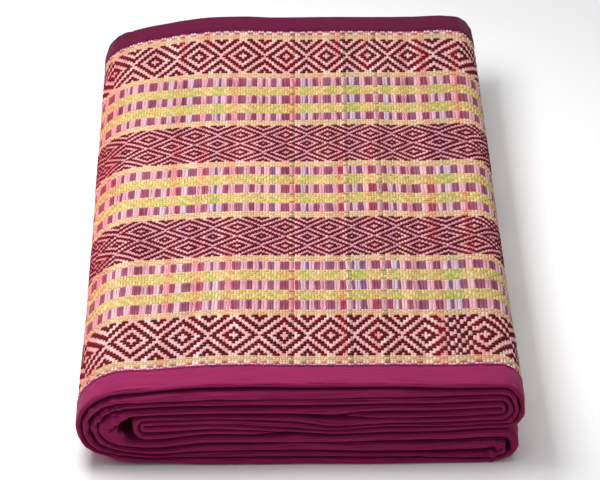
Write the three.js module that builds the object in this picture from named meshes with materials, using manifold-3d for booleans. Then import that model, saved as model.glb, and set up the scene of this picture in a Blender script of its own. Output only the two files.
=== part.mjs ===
// A woven grass floor mat, 610 mm wide and about 3.4 m long, folded into a bundle of twelve
// layers that is 305 mm wide. Both long edges are bound with plain cotton cloth.
//
// Units are millimetres. X runs across the bundle, Y along its folds, which is across the
// mat, and Z up from the floor. The mat is one sheet, so its section in the X-Z plane is one
// path of level runs and round turns. The panel and the two bindings are that section drawn
// along Y. The origin is on the floor, under the middle of the bundle.

import * as THREE from "three";
import { mergeVertices } from "three/addons/utils/BufferGeometryUtils.js";
import Module from "manifold-3d";

// The mat, and the cloth that wraps its long edges.
const MAT_WIDTH = 610;
const PANEL_THICKNESS = 2;
const BINDING_WIDTH = 27;
const BINDING_CLOTH = 0.5;
const FIT_GAP = 0.3;
const PANEL_HALF = PANEL_THICKNESS / 2;
const CAVITY_HALF = PANEL_HALF + FIT_GAP;
const BOUND_HALF = CAVITY_HALF + BINDING_CLOTH;

// The layers' heights: a row for each layer, counted from the floor, with the height of its
// middle at five places across the bundle. The pile is lower at the left, where it rolls
// over, and its last fold lifts it at the right.
const PLACE_X = { left: -116, innerLeft: -60, middle: 0, innerRight: 66, right: 136 };
const PLACES = Object.keys(PLACE_X);
const LAYERS = [
  { left: BOUND_HALF, innerLeft: BOUND_HALF, middle: BOUND_HALF, innerRight: BOUND_HALF, right: BOUND_HALF },
  { left: 7.0, innerLeft: 6.8, middle: 7.1, innerRight: 7.0, right: 6.2 },
  { left: 12.2, innerLeft: 12.3, middle: 12.2, innerRight: 13.3, right: 17.2 },
  { left: 17.4, innerLeft: 18.4, middle: 19.1, innerRight: 21.0, right: 25.4 },
  { left: 21.6, innerLeft: 22.6, middle: 23.5, innerRight: 25.4, right: 29.6 },
  { left: 25.9, innerLeft: 27.0, middle: 27.8, innerRight: 29.7, right: 33.7 },
  { left: 30.3, innerLeft: 31.3, middle: 32.1, innerRight: 34.0, right: 37.9 },
  { left: 34.6, innerLeft: 35.6, middle: 36.4, innerRight: 38.3, right: 42.1 },
  { left: 38.8, innerLeft: 40.3, middle: 41.1, innerRight: 42.8, right: 46.3 },
  { left: 44.0, innerLeft: 46.2, middle: 47.4, innerRight: 48.2, right: 50.4 },
  { left: 49.2, innerLeft: 52.4, middle: 54.0, innerRight: 53.8, right: 54.6 },
  { left: 54.4, innerLeft: 58.5, middle: 60.2, innerRight: 59.5, right: 58.7 },
];

// The turns: each joins an upper layer to a lower one round an end point, by two quarter
// ovals that start at their roots. Four nest at the left and four at the right of the bundle,
// two more make the rolled-in tip, and two the last fold at the lower right.
const TURNS = {
  tipOuter: { upper: 7, lower: 4, endX: -111.9, endZ: 28.1, upperRoot: -105.5, lowerRoot: -105.5 },
  tipInner: { upper: 6, lower: 5, endX: -107.7, endZ: 28.1, upperRoot: -105.5, lowerRoot: -105.5 },
  leftOuter: { upper: 11, lower: 0, endX: -150.7, endZ: 30.5, upperRoot: -116, lowerRoot: -116 },
  leftSecond: { upper: 10, lower: 1, endX: -146.4, endZ: 30.0, upperRoot: -116, lowerRoot: -116 },
  leftThird: { upper: 9, lower: 2, endX: -140.0, endZ: 29.2, upperRoot: -116, lowerRoot: -116 },
  leftInner: { upper: 8, lower: 3, endX: -135.2, endZ: 28.4, upperRoot: -116, lowerRoot: -116 },
  rightOuter: { upper: 11, lower: 4, endX: 150.7, endZ: 44.2, upperRoot: 136, lowerRoot: 136 },
  rightSecond: { upper: 10, lower: 5, endX: 146.5, endZ: 44.2, upperRoot: 136, lowerRoot: 136 },
  rightThird: { upper: 9, lower: 6, endX: 142.3, endZ: 44.2, upperRoot: 136, lowerRoot: 136 },
  rightInner: { upper: 8, lower: 7, endX: 138.1, endZ: 44.2, upperRoot: 136, lowerRoot: 136 },
  lastOuter: { upper: 3, lower: 0, endX: 146.8, endZ: 17.0, upperRoot: 138, lowerRoot: 126 },
  lastInner: { upper: 2, lower: 1, endX: 138.6, endZ: 12.4, upperRoot: 130, lowerRoot: 124 },
};

// The sheet's route from one cut end to the other. A run whose left and right layers differ
// steps down by one layer on its way to the right, inside the pile, where both cut ends lie.
const ROUTE = [
  { left: 4, right: 4, turn: "tipOuter" },
  { left: 7, right: 6, turn: "rightThird" },
  { left: 9, right: 9, turn: "leftThird" },
  { left: 2, right: 2, turn: "lastInner" },
  { left: 1, right: 1, turn: "leftSecond" },
  { left: 10, right: 10, turn: "rightSecond" },
  { left: 6, right: 5, turn: "tipInner" },
  { left: 5, right: 4, turn: "rightOuter" },
  { left: 11, right: 11, turn: "leftOuter" },
  { left: 0, right: 0, turn: "lastOuter" },
  { left: 3, right: 3, turn: "leftInner" },
  { left: 8, right: 8, turn: "rightInner" },
  { left: 7, right: 7, turn: null },
];
const STEP_DOWN = { from: -8, to: 28 };
const FIRST_CUT_END = -12;
const LAST_CUT_END = 32;

// How finely the path is drawn.
const RUN_SPACING = 20;
const ARC_SPACING = 5;
const FEWEST_ARC_STEPS = 4;

const MATERIALS = {
  grass: { color: 0xb0766f, roughness: 0.75, metalness: 0 },
  cotton: { color: 0x9a3668, roughness: 0.9, metalness: 0 },
};

/** Height of a layer's middle at x, smooth between the places of the table. */
function layerHeight(layer, x) {
  const row = LAYERS[layer];
  let height = row[PLACES[0]];
  for (let i = 1; i < PLACES.length; i++) {
    const share = THREE.MathUtils.smoothstep(x, PLACE_X[PLACES[i - 1]], PLACE_X[PLACES[i]]);
    height += (row[PLACES[i]] - row[PLACES[i - 1]]) * share;
  }
  return height;
}

/** Points of a level run between two x values, its ends included. */
function runPoints(run, fromX, toX) {
  const count = Math.max(1, Math.round(Math.abs(toX - fromX) / RUN_SPACING));
  const points = [];
  for (let i = 0; i <= count; i++) {
    const x = THREE.MathUtils.lerp(fromX, toX, i / count);
    const right = THREE.MathUtils.smoothstep(x, STEP_DOWN.from, STEP_DOWN.to);
    const z = THREE.MathUtils.lerp(layerHeight(run.left, x), layerHeight(run.right, x), right);
    points.push(new THREE.Vector2(x, z));
  }
  return points;
}

/** A quarter oval from its root on a layer to the turn's end point, both included. */
function quarterPoints(turn, layer, rootX) {
  const end = new THREE.Vector2(turn.endX, turn.endZ);
  const rootZ = layerHeight(layer, rootX);
  const reach = Math.hypot(end.x - rootX, end.y - rootZ);
  const count = Math.max(FEWEST_ARC_STEPS, Math.round(reach / ARC_SPACING));
  const points = [];
  for (let i = 0; i <= count; i++) {
    const angle = ((i / count) * Math.PI) / 2;
    const x = rootX + (end.x - rootX) * Math.sin(angle);
    const z = end.y + (rootZ - end.y) * Math.cos(angle);
    points.push(new THREE.Vector2(x, z));
  }
  return points;
}

/** Points round a turn, from the layer that the sheet arrives on to the one it leaves on. */
function turnPoints(turn, arrivesOnUpper) {
  const upper = quarterPoints(turn, turn.upper, turn.upperRoot);
  const lower = quarterPoints(turn, turn.lower, turn.lowerRoot).reverse();
  const points = [...upper, ...lower.slice(1)];
  return arrivesOnUpper ? points : points.reverse();
}

/** The middle line of the whole folded sheet, from one cut end to the other. */
function sheetPath() {
  const path = [];
  let startX = FIRST_CUT_END;
  for (const run of ROUTE) {
    const turn = TURNS[run.turn];
    if (!turn) {
      path.push(...runPoints(run, startX, LAST_CUT_END).slice(1));
      continue;
    }
    const layer = turn.endX < 0 ? run.left : run.right;
    const arrivesOnUpper = layer === turn.upper;
    const endX = arrivesOnUpper ? turn.upperRoot : turn.lowerRoot;
    path.push(...runPoints(run, startX, endX).slice(path.length ? 1 : 0));
    path.push(...turnPoints(turn, arrivesOnUpper).slice(1));
    startX = arrivesOnUpper ? turn.lowerRoot : turn.upperRoot;
  }
  return path;
}

/** One side of the path, moved sideways by a distance, with its corners mitred. */
function offsetPath(path, distance) {
  return path.map((point, i) => {
    const before = path[Math.max(i - 1, 0)];
    const after = path[Math.min(i + 1, path.length - 1)];
    const arriving = (i ? point.clone().sub(before) : after.clone().sub(point)).normalize();
    const leaving = (i < path.length - 1 ? after.clone().sub(point) : arriving.clone()).normalize();
    const along = arriving.clone().add(leaving).normalize();
    const mitre = distance / along.dot(arriving);
    return new THREE.Vector2(point.x - along.y * mitre, point.y + along.x * mitre);
  });
}

/** The path with both of its ends drawn out straight by a length. */
function lengthenPath(path, length) {
  const first = path[0].clone().sub(path[1]).setLength(length).add(path[0]);
  const last = path.at(-1).clone().sub(path.at(-2)).setLength(length).add(path.at(-1));
  return [first, ...path, last];
}

/** A strip of the folded sheet: the path made thick, and drawn along Y between two places. */
function stripGeometry(path, halfThickness, fromY, toY) {
  const outline = [...offsetPath(path, halfThickness), ...offsetPath(path, -halfThickness).reverse()];
  const geometry = new THREE.ExtrudeGeometry(new THREE.Shape(outline), {
    depth: toY - fromY,
    bevelEnabled: false,
  });
  // The section is drawn in X and Y and pushed out along Z, so it is stood up on its face.
  geometry.rotateX(Math.PI / 2);
  geometry.translate(0, toY, 0);
  return geometry;
}

const manifold = await Module();
manifold.setup();

/** A geometry's closed surface as a solid that can be cut. */
function solidOf(geometry) {
  const bare = geometry.clone();
  bare.deleteAttribute("normal");
  bare.deleteAttribute("uv");
  const merged = mergeVertices(bare, 1e-4);
  return new manifold.Manifold(
    new manifold.Mesh({
      numProp: 3,
      vertProperties: merged.attributes.position.array,
      triVerts: new Uint32Array(merged.index.array),
    }),
  );
}

/** The geometry of a solid that was cut. */
function geometryOf(solid) {
  const mesh = solid.getMesh();
  const geometry = new THREE.BufferGeometry();
  geometry.setAttribute("position", new THREE.BufferAttribute(mesh.vertProperties, 3));
  geometry.setIndex(new THREE.BufferAttribute(mesh.triVerts, 1));
  geometry.computeVertexNormals();
  return geometry;
}

/** A named mesh with its own material. */
function part(name, geometry, material) {
  const mesh = new THREE.Mesh(geometry, new THREE.MeshStandardMaterial(MATERIALS[material]));
  mesh.name = name;
  return mesh;
}

/** The woven panel, which stops short of the cloth that closes round its edges. */
function makePanel(path) {
  const reach = MAT_WIDTH / 2 - BINDING_CLOTH - FIT_GAP;
  return part("mat_panel", stripGeometry(path, PANEL_HALF, -reach, reach), "grass");
}

/** A binding: cloth wrapped round one long edge, closed over it and open towards the panel. */
function makeBinding(name, path, side) {
  const edge = MAT_WIDTH / 2;
  const [fromY, toY] = side < 0 ? [-edge, BINDING_WIDTH - edge] : [edge - BINDING_WIDTH, edge];
  const [openFrom, openTo] = side < 0 ? [fromY + BINDING_CLOTH, toY + 1] : [fromY - 1, toY - BINDING_CLOTH];
  const wrapped = solidOf(stripGeometry(path, BOUND_HALF, fromY, toY));
  const hollow = solidOf(stripGeometry(lengthenPath(path, 1), CAVITY_HALF, openFrom, openTo));
  return part(name, geometryOf(wrapped.subtract(hollow)), "cotton");
}

const path = sheetPath();
const mat = new THREE.Group();
mat.add(makePanel(path));
mat.add(makeBinding("binding_front", path, -1));
mat.add(makeBinding("binding_back", path, 1));

export default mat;
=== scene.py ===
"""A woven grass floor mat, folded into a flat bundle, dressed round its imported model.

The mat is one sheet that is folded back and forth. Its section in the X-Z plane is one line of
level runs and round turns, and every piece here is laid out along that line: the woven panel,
the grass and yarn floats that stand up on its outer face, the cloth that binds its two long
edges, and the stitches that hold that cloth.

Sizes in the tables are millimetres, and MM turns them into Blender's metres.
"""

import logging
import math
from dataclasses import dataclass, field
from enum import Enum
from typing import Callable, Optional, Sequence, Union

import bpy
import numpy as np
from mathutils import Matrix, Vector


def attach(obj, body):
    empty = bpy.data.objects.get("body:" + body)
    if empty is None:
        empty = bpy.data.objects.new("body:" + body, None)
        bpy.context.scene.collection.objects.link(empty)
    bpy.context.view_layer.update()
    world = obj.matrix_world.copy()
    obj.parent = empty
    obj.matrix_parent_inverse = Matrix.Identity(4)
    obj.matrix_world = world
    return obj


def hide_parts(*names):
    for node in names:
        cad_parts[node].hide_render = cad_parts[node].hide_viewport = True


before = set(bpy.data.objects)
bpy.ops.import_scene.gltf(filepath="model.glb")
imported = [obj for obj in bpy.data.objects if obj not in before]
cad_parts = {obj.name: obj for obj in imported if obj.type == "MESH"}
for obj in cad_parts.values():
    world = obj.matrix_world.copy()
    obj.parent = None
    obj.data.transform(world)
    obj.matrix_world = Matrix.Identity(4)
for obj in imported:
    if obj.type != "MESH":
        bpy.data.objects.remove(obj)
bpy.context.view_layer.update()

MM = 0.001
BODY = "root"
LOG = logging.getLogger("mat")

Colour = tuple[float, float, float]
Place = tuple[float, float, float]
Rows = tuple[tuple[float, ...], ...]
Value = Union[bpy.types.NodeSocket, float, Colour]


def srgb(red: int, green: int, blue: int) -> Colour:
    """The linear values that shaders use for a colour as seen on a screen, each part 0 to 255."""
    return tuple((channel / 255) ** 2.2 for channel in (red, green, blue))


def smooth_share(value: np.ndarray, low: float, high: float) -> np.ndarray:
    """A smooth step from 0 at low to 1 at high, read at each value."""
    share = np.clip((np.asarray(value, float) - low) / (high - low), 0, 1)
    return share * share * (3 - 2 * share)


def smooth_fall(value: np.ndarray, low: float, high: float) -> np.ndarray:
    """The same step turned round, from 1 at low to 0 at high."""
    return 1 - smooth_share(value, low, high)


def smooth_table(value: np.ndarray, places: Sequence[float], heights: Sequence[np.ndarray]) -> np.ndarray:
    """Passes smoothly from each height to the next.

    Args:
        value: Where to read the table.
        places: Where each of the heights is reached.
        heights: The heights, each a number or one for every value.

    Returns:
        The height at each value.
    """
    total = heights[0]
    for low, high, before, after in zip(places, places[1:], heights, heights[1:]):
        total = total + (after - before) * smooth_share(value, low, high)
    return total


@dataclass(eq=False)
class Ripple:
    """A gentle, repeatable unevenness: a few sine waves with seeded directions and phases.

    The lengths are those of the shortest and the longest wave, in metres, and the axes are the
    number of coordinates that the waves run over.
    """

    seed: int
    waves: int
    lengths: tuple[float, float]
    axes: int
    numbers: np.ndarray = field(init=False)
    phases: np.ndarray = field(init=False)

    def __post_init__(self) -> None:
        """Draws the waves."""
        draw = np.random.default_rng(self.seed)
        heading = draw.normal(size=(self.waves, self.axes))
        heading /= np.linalg.norm(heading, axis=1, keepdims=True)
        self.numbers = heading * (2 * math.pi / draw.uniform(*self.lengths, size=(self.waves, 1)))
        self.phases = draw.uniform(0, 2 * math.pi, size=self.waves)

    def at(self, *places: np.ndarray) -> np.ndarray:
        """The ripple's height, mostly between -1 and 1, at places with one array for each axis."""
        grid = np.stack(np.broadcast_arrays(*places), axis=-1)
        return np.sin(grid @ self.numbers.T + self.phases).sum(axis=-1) / math.sqrt(2 * self.waves)


@dataclass(frozen=True)
class Turn:
    """A turn that joins an upper layer to a lower one round an end point, by two quarter ovals."""

    upper: int
    lower: int
    end_x: float
    end_z: float
    upper_root: float
    lower_root: float


@dataclass(frozen=True)
class Run:
    """A level run across the bundle, on one layer at its left end and one at its right end.

    The turn is the one that the sheet goes into next, by name.
    """

    left: int
    right: int
    turn: Optional[str]


@dataclass(frozen=True)
class Fold:
    """How the mat is folded: the heights of its layers, its turns and its route through them.

    Every size here is in millimetres.
    """

    places: tuple[float, ...] = (-116, -60, 0, 66, 136)
    layers: Rows = (
        (1.8, 1.8, 1.8, 1.8, 1.8),
        (7.0, 6.8, 7.1, 7.0, 6.2),
        (12.2, 12.3, 12.2, 13.3, 17.2),
        (17.4, 18.4, 19.1, 21.0, 25.4),
        (21.6, 22.6, 23.5, 25.4, 29.6),
        (25.9, 27.0, 27.8, 29.7, 33.7),
        (30.3, 31.3, 32.1, 34.0, 37.9),
        (34.6, 35.6, 36.4, 38.3, 42.1),
        (38.8, 40.3, 41.1, 42.8, 46.3),
        (44.0, 46.2, 47.4, 48.2, 50.4),
        (49.2, 52.4, 54.0, 53.8, 54.6),
        (54.4, 58.5, 60.2, 59.5, 58.7),
    )
    turns: dict[str, Turn] = field(default_factory=lambda: {
        "tip_outer": Turn(7, 4, -111.9, 28.1, -105.5, -105.5),
        "tip_inner": Turn(6, 5, -107.7, 28.1, -105.5, -105.5),
        "left_outer": Turn(11, 0, -150.7, 30.5, -116, -116),
        "left_second": Turn(10, 1, -146.4, 30.0, -116, -116),
        "left_third": Turn(9, 2, -140.0, 29.2, -116, -116),
        "left_inner": Turn(8, 3, -135.2, 28.4, -116, -116),
        "right_outer": Turn(11, 4, 150.7, 44.2, 136, 136),
        "right_second": Turn(10, 5, 146.5, 44.2, 136, 136),
        "right_third": Turn(9, 6, 142.3, 44.2, 136, 136),
        "right_inner": Turn(8, 7, 138.1, 44.2, 136, 136),
        "last_outer": Turn(3, 0, 146.8, 17.0, 138, 126),
        "last_inner": Turn(2, 1, 138.6, 12.4, 130, 124),
    })
    route: tuple[Run, ...] = (
        Run(4, 4, "tip_outer"),
        Run(7, 6, "right_third"),
        Run(9, 9, "left_third"),
        Run(2, 2, "last_inner"),
        Run(1, 1, "left_second"),
        Run(10, 10, "right_second"),
        Run(6, 5, "tip_inner"),
        Run(5, 4, "right_outer"),
        Run(11, 11, "left_outer"),
        Run(0, 0, "last_outer"),
        Run(3, 3, "left_inner"),
        Run(8, 8, "right_inner"),
        Run(7, 7, None),
    )
    # The run on the top of the bundle, and all that lies on its outside, by name.
    top: str = "run_8"
    shown: tuple[str, ...] = ("right_outer", "run_8", "left_outer", "run_9", "last_outer")
    step_from: float = -8
    step_to: float = 28
    first_cut: float = -12
    last_cut: float = 32
    spacing: float = 0.8
    # How far the count of layers goes on under the lowest one and over the top one.
    under: float = 3.6
    over: float = 5.2

    def height(self, layer: int, x: np.ndarray) -> np.ndarray:
        """Heights of a layer's middle at places across the bundle, with the layers counted upwards."""
        return smooth_table(x, self.places, self.layers[layer])

    def layer_at(self, x: np.ndarray, z: np.ndarray) -> np.ndarray:
        """The layer that a height falls on, with its fraction.

        Args:
            x: Places across the bundle, in millimetres.
            z: Heights, in millimetres.

        Returns:
            Layer numbers, from -1 under the lowest layer to 12 over the top one.
        """
        x = np.clip(x, self.places[0], self.places[-1])
        heights = [self.height(layer, x) for layer in range(len(self.layers))]
        heights = [heights[0] - self.under, *heights, heights[-1] + self.over]
        steps = [np.clip((z - low) / (high - low), 0, 1) for low, high in zip(heights, heights[1:])]
        return np.sum(steps, axis=0) - 1

    def run_points(self, run: Run, from_x: float, to_x: float) -> np.ndarray:
        """Points along a run, both of its ends included.

        Args:
            run: The run.
            from_x: Where it starts.
            to_x: Where it ends.

        Returns:
            Its points, as X and Z.
        """
        x = np.linspace(from_x, to_x, max(2, round(abs(to_x - from_x) / self.spacing) + 1))
        share = smooth_share(x, self.step_from, self.step_to)
        z = self.height(run.left, x) * (1 - share) + self.height(run.right, x) * share
        return np.stack([x, z], axis=1)

    def quarter_points(self, turn: Turn, layer: int, root_x: float) -> np.ndarray:
        """Points of a quarter oval from its root to the turn's end.

        Args:
            turn: The turn that it is a part of.
            layer: The layer that it starts on.
            root_x: Where it leaves that layer.

        Returns:
            Its points, as X and Z.
        """
        root_z = float(self.height(layer, np.array(root_x)))
        reach = math.hypot(turn.end_x - root_x, turn.end_z - root_z)
        angle = np.linspace(0, math.pi / 2, max(6, round(reach / self.spacing) + 1))
        x = root_x + (turn.end_x - root_x) * np.sin(angle)
        z = turn.end_z + (root_z - turn.end_z) * np.cos(angle)
        return np.stack([x, z], axis=1)

    def turn_points(self, turn: Turn, from_upper: bool) -> np.ndarray:
        """Points round a whole turn.

        Args:
            turn: The turn.
            from_upper: True where the sheet comes in on the upper layer.

        Returns:
            Its points, as X and Z, from the layer that the sheet comes in on.
        """
        upper = self.quarter_points(turn, turn.upper, turn.upper_root)
        lower = self.quarter_points(turn, turn.lower, turn.lower_root)[::-1]
        points = np.concatenate([upper, lower[1:]])
        return points if from_upper else points[::-1]


@dataclass
class SheetLine:
    """The middle line of the folded sheet, read by the distance u along it, in metres."""

    fold: Fold
    # The share of its thickness that the sheet keeps at its cut ends, and how far in it has all.
    cut_share: float = 0.33
    taper: float = 22 * MM
    # What counts as the next layer: how far off it is along the sheet, how far beside a place it
    # may lie, and what stays free between the two.
    apart: float = 5 * MM
    beside: float = 1.0 * MM
    slack: float = 0.12 * MM
    # How far what shows goes on past the bundle's top right, lower left and lower right.
    past_right: float = 8 * MM
    past_left: float = 3 * MM
    past_last: float = 6 * MM
    points: np.ndarray = field(init=False)
    u: np.ndarray = field(init=False)
    along: np.ndarray = field(init=False)
    spans: dict[str, tuple[float, float]] = field(init=False, default_factory=dict)

    def __post_init__(self) -> None:
        """Joins the runs and turns to one line and measures it."""
        pieces = self.walk()
        points = [line[(1 if n else 0):] for n, (_, line) in enumerate(pieces)]
        self.points = np.concatenate(points) * MM
        step = np.linalg.norm(np.diff(self.points, axis=0), axis=1)
        self.u = np.concatenate([[0.0], np.cumsum(step)])
        along = np.gradient(self.points, self.u, axis=0)
        self.along = along / np.linalg.norm(along, axis=1, keepdims=True)
        at = 0
        for name, line in pieces:
            last = at + len(line) - 1
            self.spans[name] = (float(self.u[at]), float(self.u[last]))
            at = last

    def walk(self) -> list[tuple[str, np.ndarray]]:
        """Walks the fold's route from one cut end to the other.

        Returns:
            The name and the points of each run and turn, in millimetres.
        """
        pieces: list[tuple[str, np.ndarray]] = []
        start = self.fold.first_cut
        for number, run in enumerate(self.fold.route):
            turn = self.fold.turns.get(run.turn or "")
            if turn is None:
                pieces.append((f"run_{number}", self.fold.run_points(run, start, self.fold.last_cut)))
                continue
            layer = run.left if turn.end_x < 0 else run.right
            from_upper = layer == turn.upper
            end = turn.upper_root if from_upper else turn.lower_root
            pieces.append((f"run_{number}", self.fold.run_points(run, start, end)))
            pieces.append((run.turn, self.fold.turn_points(turn, from_upper)))
            start = turn.lower_root if from_upper else turn.upper_root
        return pieces

    @property
    def length(self) -> float:
        """The sheet's flat length, in metres."""
        return float(self.u[-1])

    def place(self, u: np.ndarray) -> np.ndarray:
        """Points on the line, as X and Z."""
        return np.stack([np.interp(u, self.u, self.points[:, k]) for k in (0, 1)], axis=-1)

    def heading(self, u: np.ndarray) -> np.ndarray:
        """Unit directions along the line, as X and Z."""
        along = np.stack([np.interp(u, self.u, self.along[:, k]) for k in (0, 1)], axis=-1)
        return along / np.linalg.norm(along, axis=-1, keepdims=True)

    def outward(self, u: np.ndarray) -> np.ndarray:
        """Unit directions out of the sheet's outer face, which is on its right."""
        along = self.heading(u)
        return np.stack([along[..., 1], -along[..., 0]], axis=-1)

    def lift(self, u: np.ndarray, y: np.ndarray, height: np.ndarray) -> np.ndarray:
        """Points at a height over the middle line, out of the outer face.

        Args:
            u: Distances along the sheet.
            y: Places across it.
            height: Heights, negative on the inner face.

        Returns:
            Points with X, Y and Z.
        """
        u, y, height = np.broadcast_arrays(u, y, height)
        flat = self.place(u) + self.outward(u) * height[..., None]
        return np.stack([flat[..., 0], y, flat[..., 1]], axis=-1)

    def stations(self, plan: Callable[[str], float]) -> np.ndarray:
        """Distances u at which a piece has its rows of points.

        Args:
            plan: Gives the spacing, in metres, for a run or turn by its name.

        Returns:
            Sorted distances from one cut end to the other.
        """
        rows = [np.array([0.0])]
        for name, (low, high) in self.spans.items():
            count = max(2, math.ceil((high - low) / plan(name)))
            rows.append(np.linspace(low, high, count + 1)[1:])
        return np.concatenate(rows)

    def outside(self) -> tuple[tuple[float, float], ...]:
        """The stretches of the sheet that lie on the outside of the bundle, but for its underside."""
        right, left, last = (self.spans[name] for name in ("right_outer", "left_outer", "last_outer"))
        return (right[0] - self.past_right, left[1] + self.past_left), (last[0], last[1] + self.past_last)

    def fullness(self, u: np.ndarray) -> np.ndarray:
        """The share of its thickness that the sheet has, which falls off at its two cut ends."""
        inside = smooth_share(np.minimum(u, self.length - u), 0, self.taper)
        return self.cut_share + (1 - self.cut_share) * inside

    def room(self, u: np.ndarray, side: int, most: float) -> np.ndarray:
        """This face's share of the way to the next layer, at most a given size.

        Args:
            u: Distances along the sheet.
            side: 1 for the outer face, -1 for the inner.
            most: The largest answer, which is also what an open face gives.

        Returns:
            The room at each distance, in metres.
        """
        here, out, along = self.place(u), self.outward(u) * side, self.heading(u)
        own, theirs = self.fullness(u), self.fullness(self.u)
        found = np.full(len(u), most)
        for k in range(len(u)):
            other = self.points - here[k]
            ahead, across = other @ out[k], np.abs(other @ along[k])
            near = (across < self.beside) & (ahead > 0) & (np.abs(self.u - u[k]) > self.apart)
            if near.any():
                share = own[k] / (own[k] + theirs[near])
                found[k] = min(most, (ahead[near] * share).min() - self.slack)
        return found


@dataclass(frozen=True)
class EdgeShape:
    """How the bound edges lie in the pile, in millimetres.

    Each row gives its values at the same places across the bundle. The rows of gaps run from the
    one under the lowest layer to the one over the top layer, and the rows of layers upwards.
    """

    places: tuple[float, ...] = (-130, -100, -60, 0, 60, 115)
    # How much higher each gap lies than in the even fold.
    gap_rises: Rows = (
        (2.6, 1.5, 0.1, 0.0, 0.0, 0.0),
        (3.6, 1.2, 0.9, 0.1, 0.4, -0.8),
        (1.5, -1.5, 0.5, 0.2, -1.5, -3.0),
        (0.0, -2.5, 0.6, 0.6, -0.6, -3.6),
        (-0.5, -1.2, 2.4, 0.6, 0.0, -1.8),
        (0.0, 0.5, 2.2, -1.0, 0.2, -2.4),
        (0.5, 2.0, 2.8, -2.4, -1.5, -3.6),
        (0.5, 2.0, 2.2, -2.0, -1.5, -3.4),
        (0.8, 1.6, 1.2, -1.2, -1.3, -3.2),
        (2.0, 3.2, 2.2, 0.5, 0.0, -1.6),
        (2.5, 2.6, 1.6, 0.2, 0.8, -0.4),
        (3.0, 3.4, 2.8, 0.8, 1.3, 1.0),
        (0.8, 0.8, 0.6, 0.0, 0.0, 0.0),
    )
    # How far the cloth on both sides of a gap draws back from it, where 1 is a deep gap.
    gap_openings: Rows = (
        (0.3, 0.3, 0.3, 0.3, 0.3, 0.3),
        (0.9, 0.5, 0.3, 0.3, 0.4, 0.4),
        (1.0, 0.5, 0.2, 0.5, 0.6, 0.6),
        (1.1, 0.7, 0.3, 0.0, 0.5, 0.6),
        (1.2, 2.0, 1.9, 1.3, 1.2, 1.0),
        (0.6, 0.5, 0.2, 0.0, 0.5, 0.1),
        (0.4, 0.2, 0.0, 0.4, 0.1, 0.8),
        (0.4, 0.2, 0.1, 0.2, 0.0, 0.5),
        (1.1, 0.8, 0.9, 0.8, 1.1, 1.2),
        (1.0, 0.7, 0.8, 0.7, 0.5, 0.6),
        (0.8, 0.2, 0.0, 0.0, 0.1, 0.3),
        (0.8, 0.6, 0.7, 0.4, 0.4, 0.6),
        (0.6, 0.6, 0.6, 0.6, 0.6, 0.6),
    )
    # How far back each layer's edge lies, before all of them come forward alike.
    set_backs: Rows = (
        (1.0, 0.8, -0.2, -0.8, -0.8, -0.4),
        (0.8, 0.6, 0.6, 0.4, 0.4, 0.4),
        (0.5, 0.4, 0.2, 0.0, 0.2, 0.2),
        (0.3, 0.3, 0.4, 0.2, 0.2, 0.4),
        (1.5, 1.6, 1.6, 1.0, 0.8, 0.8),
        (1.2, 1.2, 1.2, 1.2, 1.2, 1.2),
        (0.8, 0.8, 0.8, 0.8, 0.8, 0.8),
        (0.6, 0.6, 0.6, 0.6, 0.6, 0.6),
        (0.0, -0.2, 0.2, 0.8, 1.2, 1.6),
        (0.4, 0.2, 0.0, 0.0, 0.2, 1.0),
        (-1.2, -1.6, -2.0, -1.6, -1.2, 0.2),
        (1.0, 2.4, 2.2, 1.6, 1.4, 0.4),
    )
    forward: float = 1.4
    # How much further back the two cut ends lie.
    end_back: float = 4.0
    # The layer numbers of the first gap and the first layer.
    first_gap: float = -0.5
    first_layer: float = 0

    def read(self, rows: Rows, first: float, layer: np.ndarray, x: np.ndarray) -> np.ndarray:
        """Reads one of the tables.

        Args:
            rows: The table.
            first: The layer coordinate of its first row.
            layer: Layer coordinates to read it at.
            x: Places across the bundle, in millimetres.

        Returns:
            The values there.
        """
        table = np.array(rows)
        columns = [np.interp(layer, first + np.arange(len(table)), column) for column in table.T]
        return smooth_table(x, self.places, columns)


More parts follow.
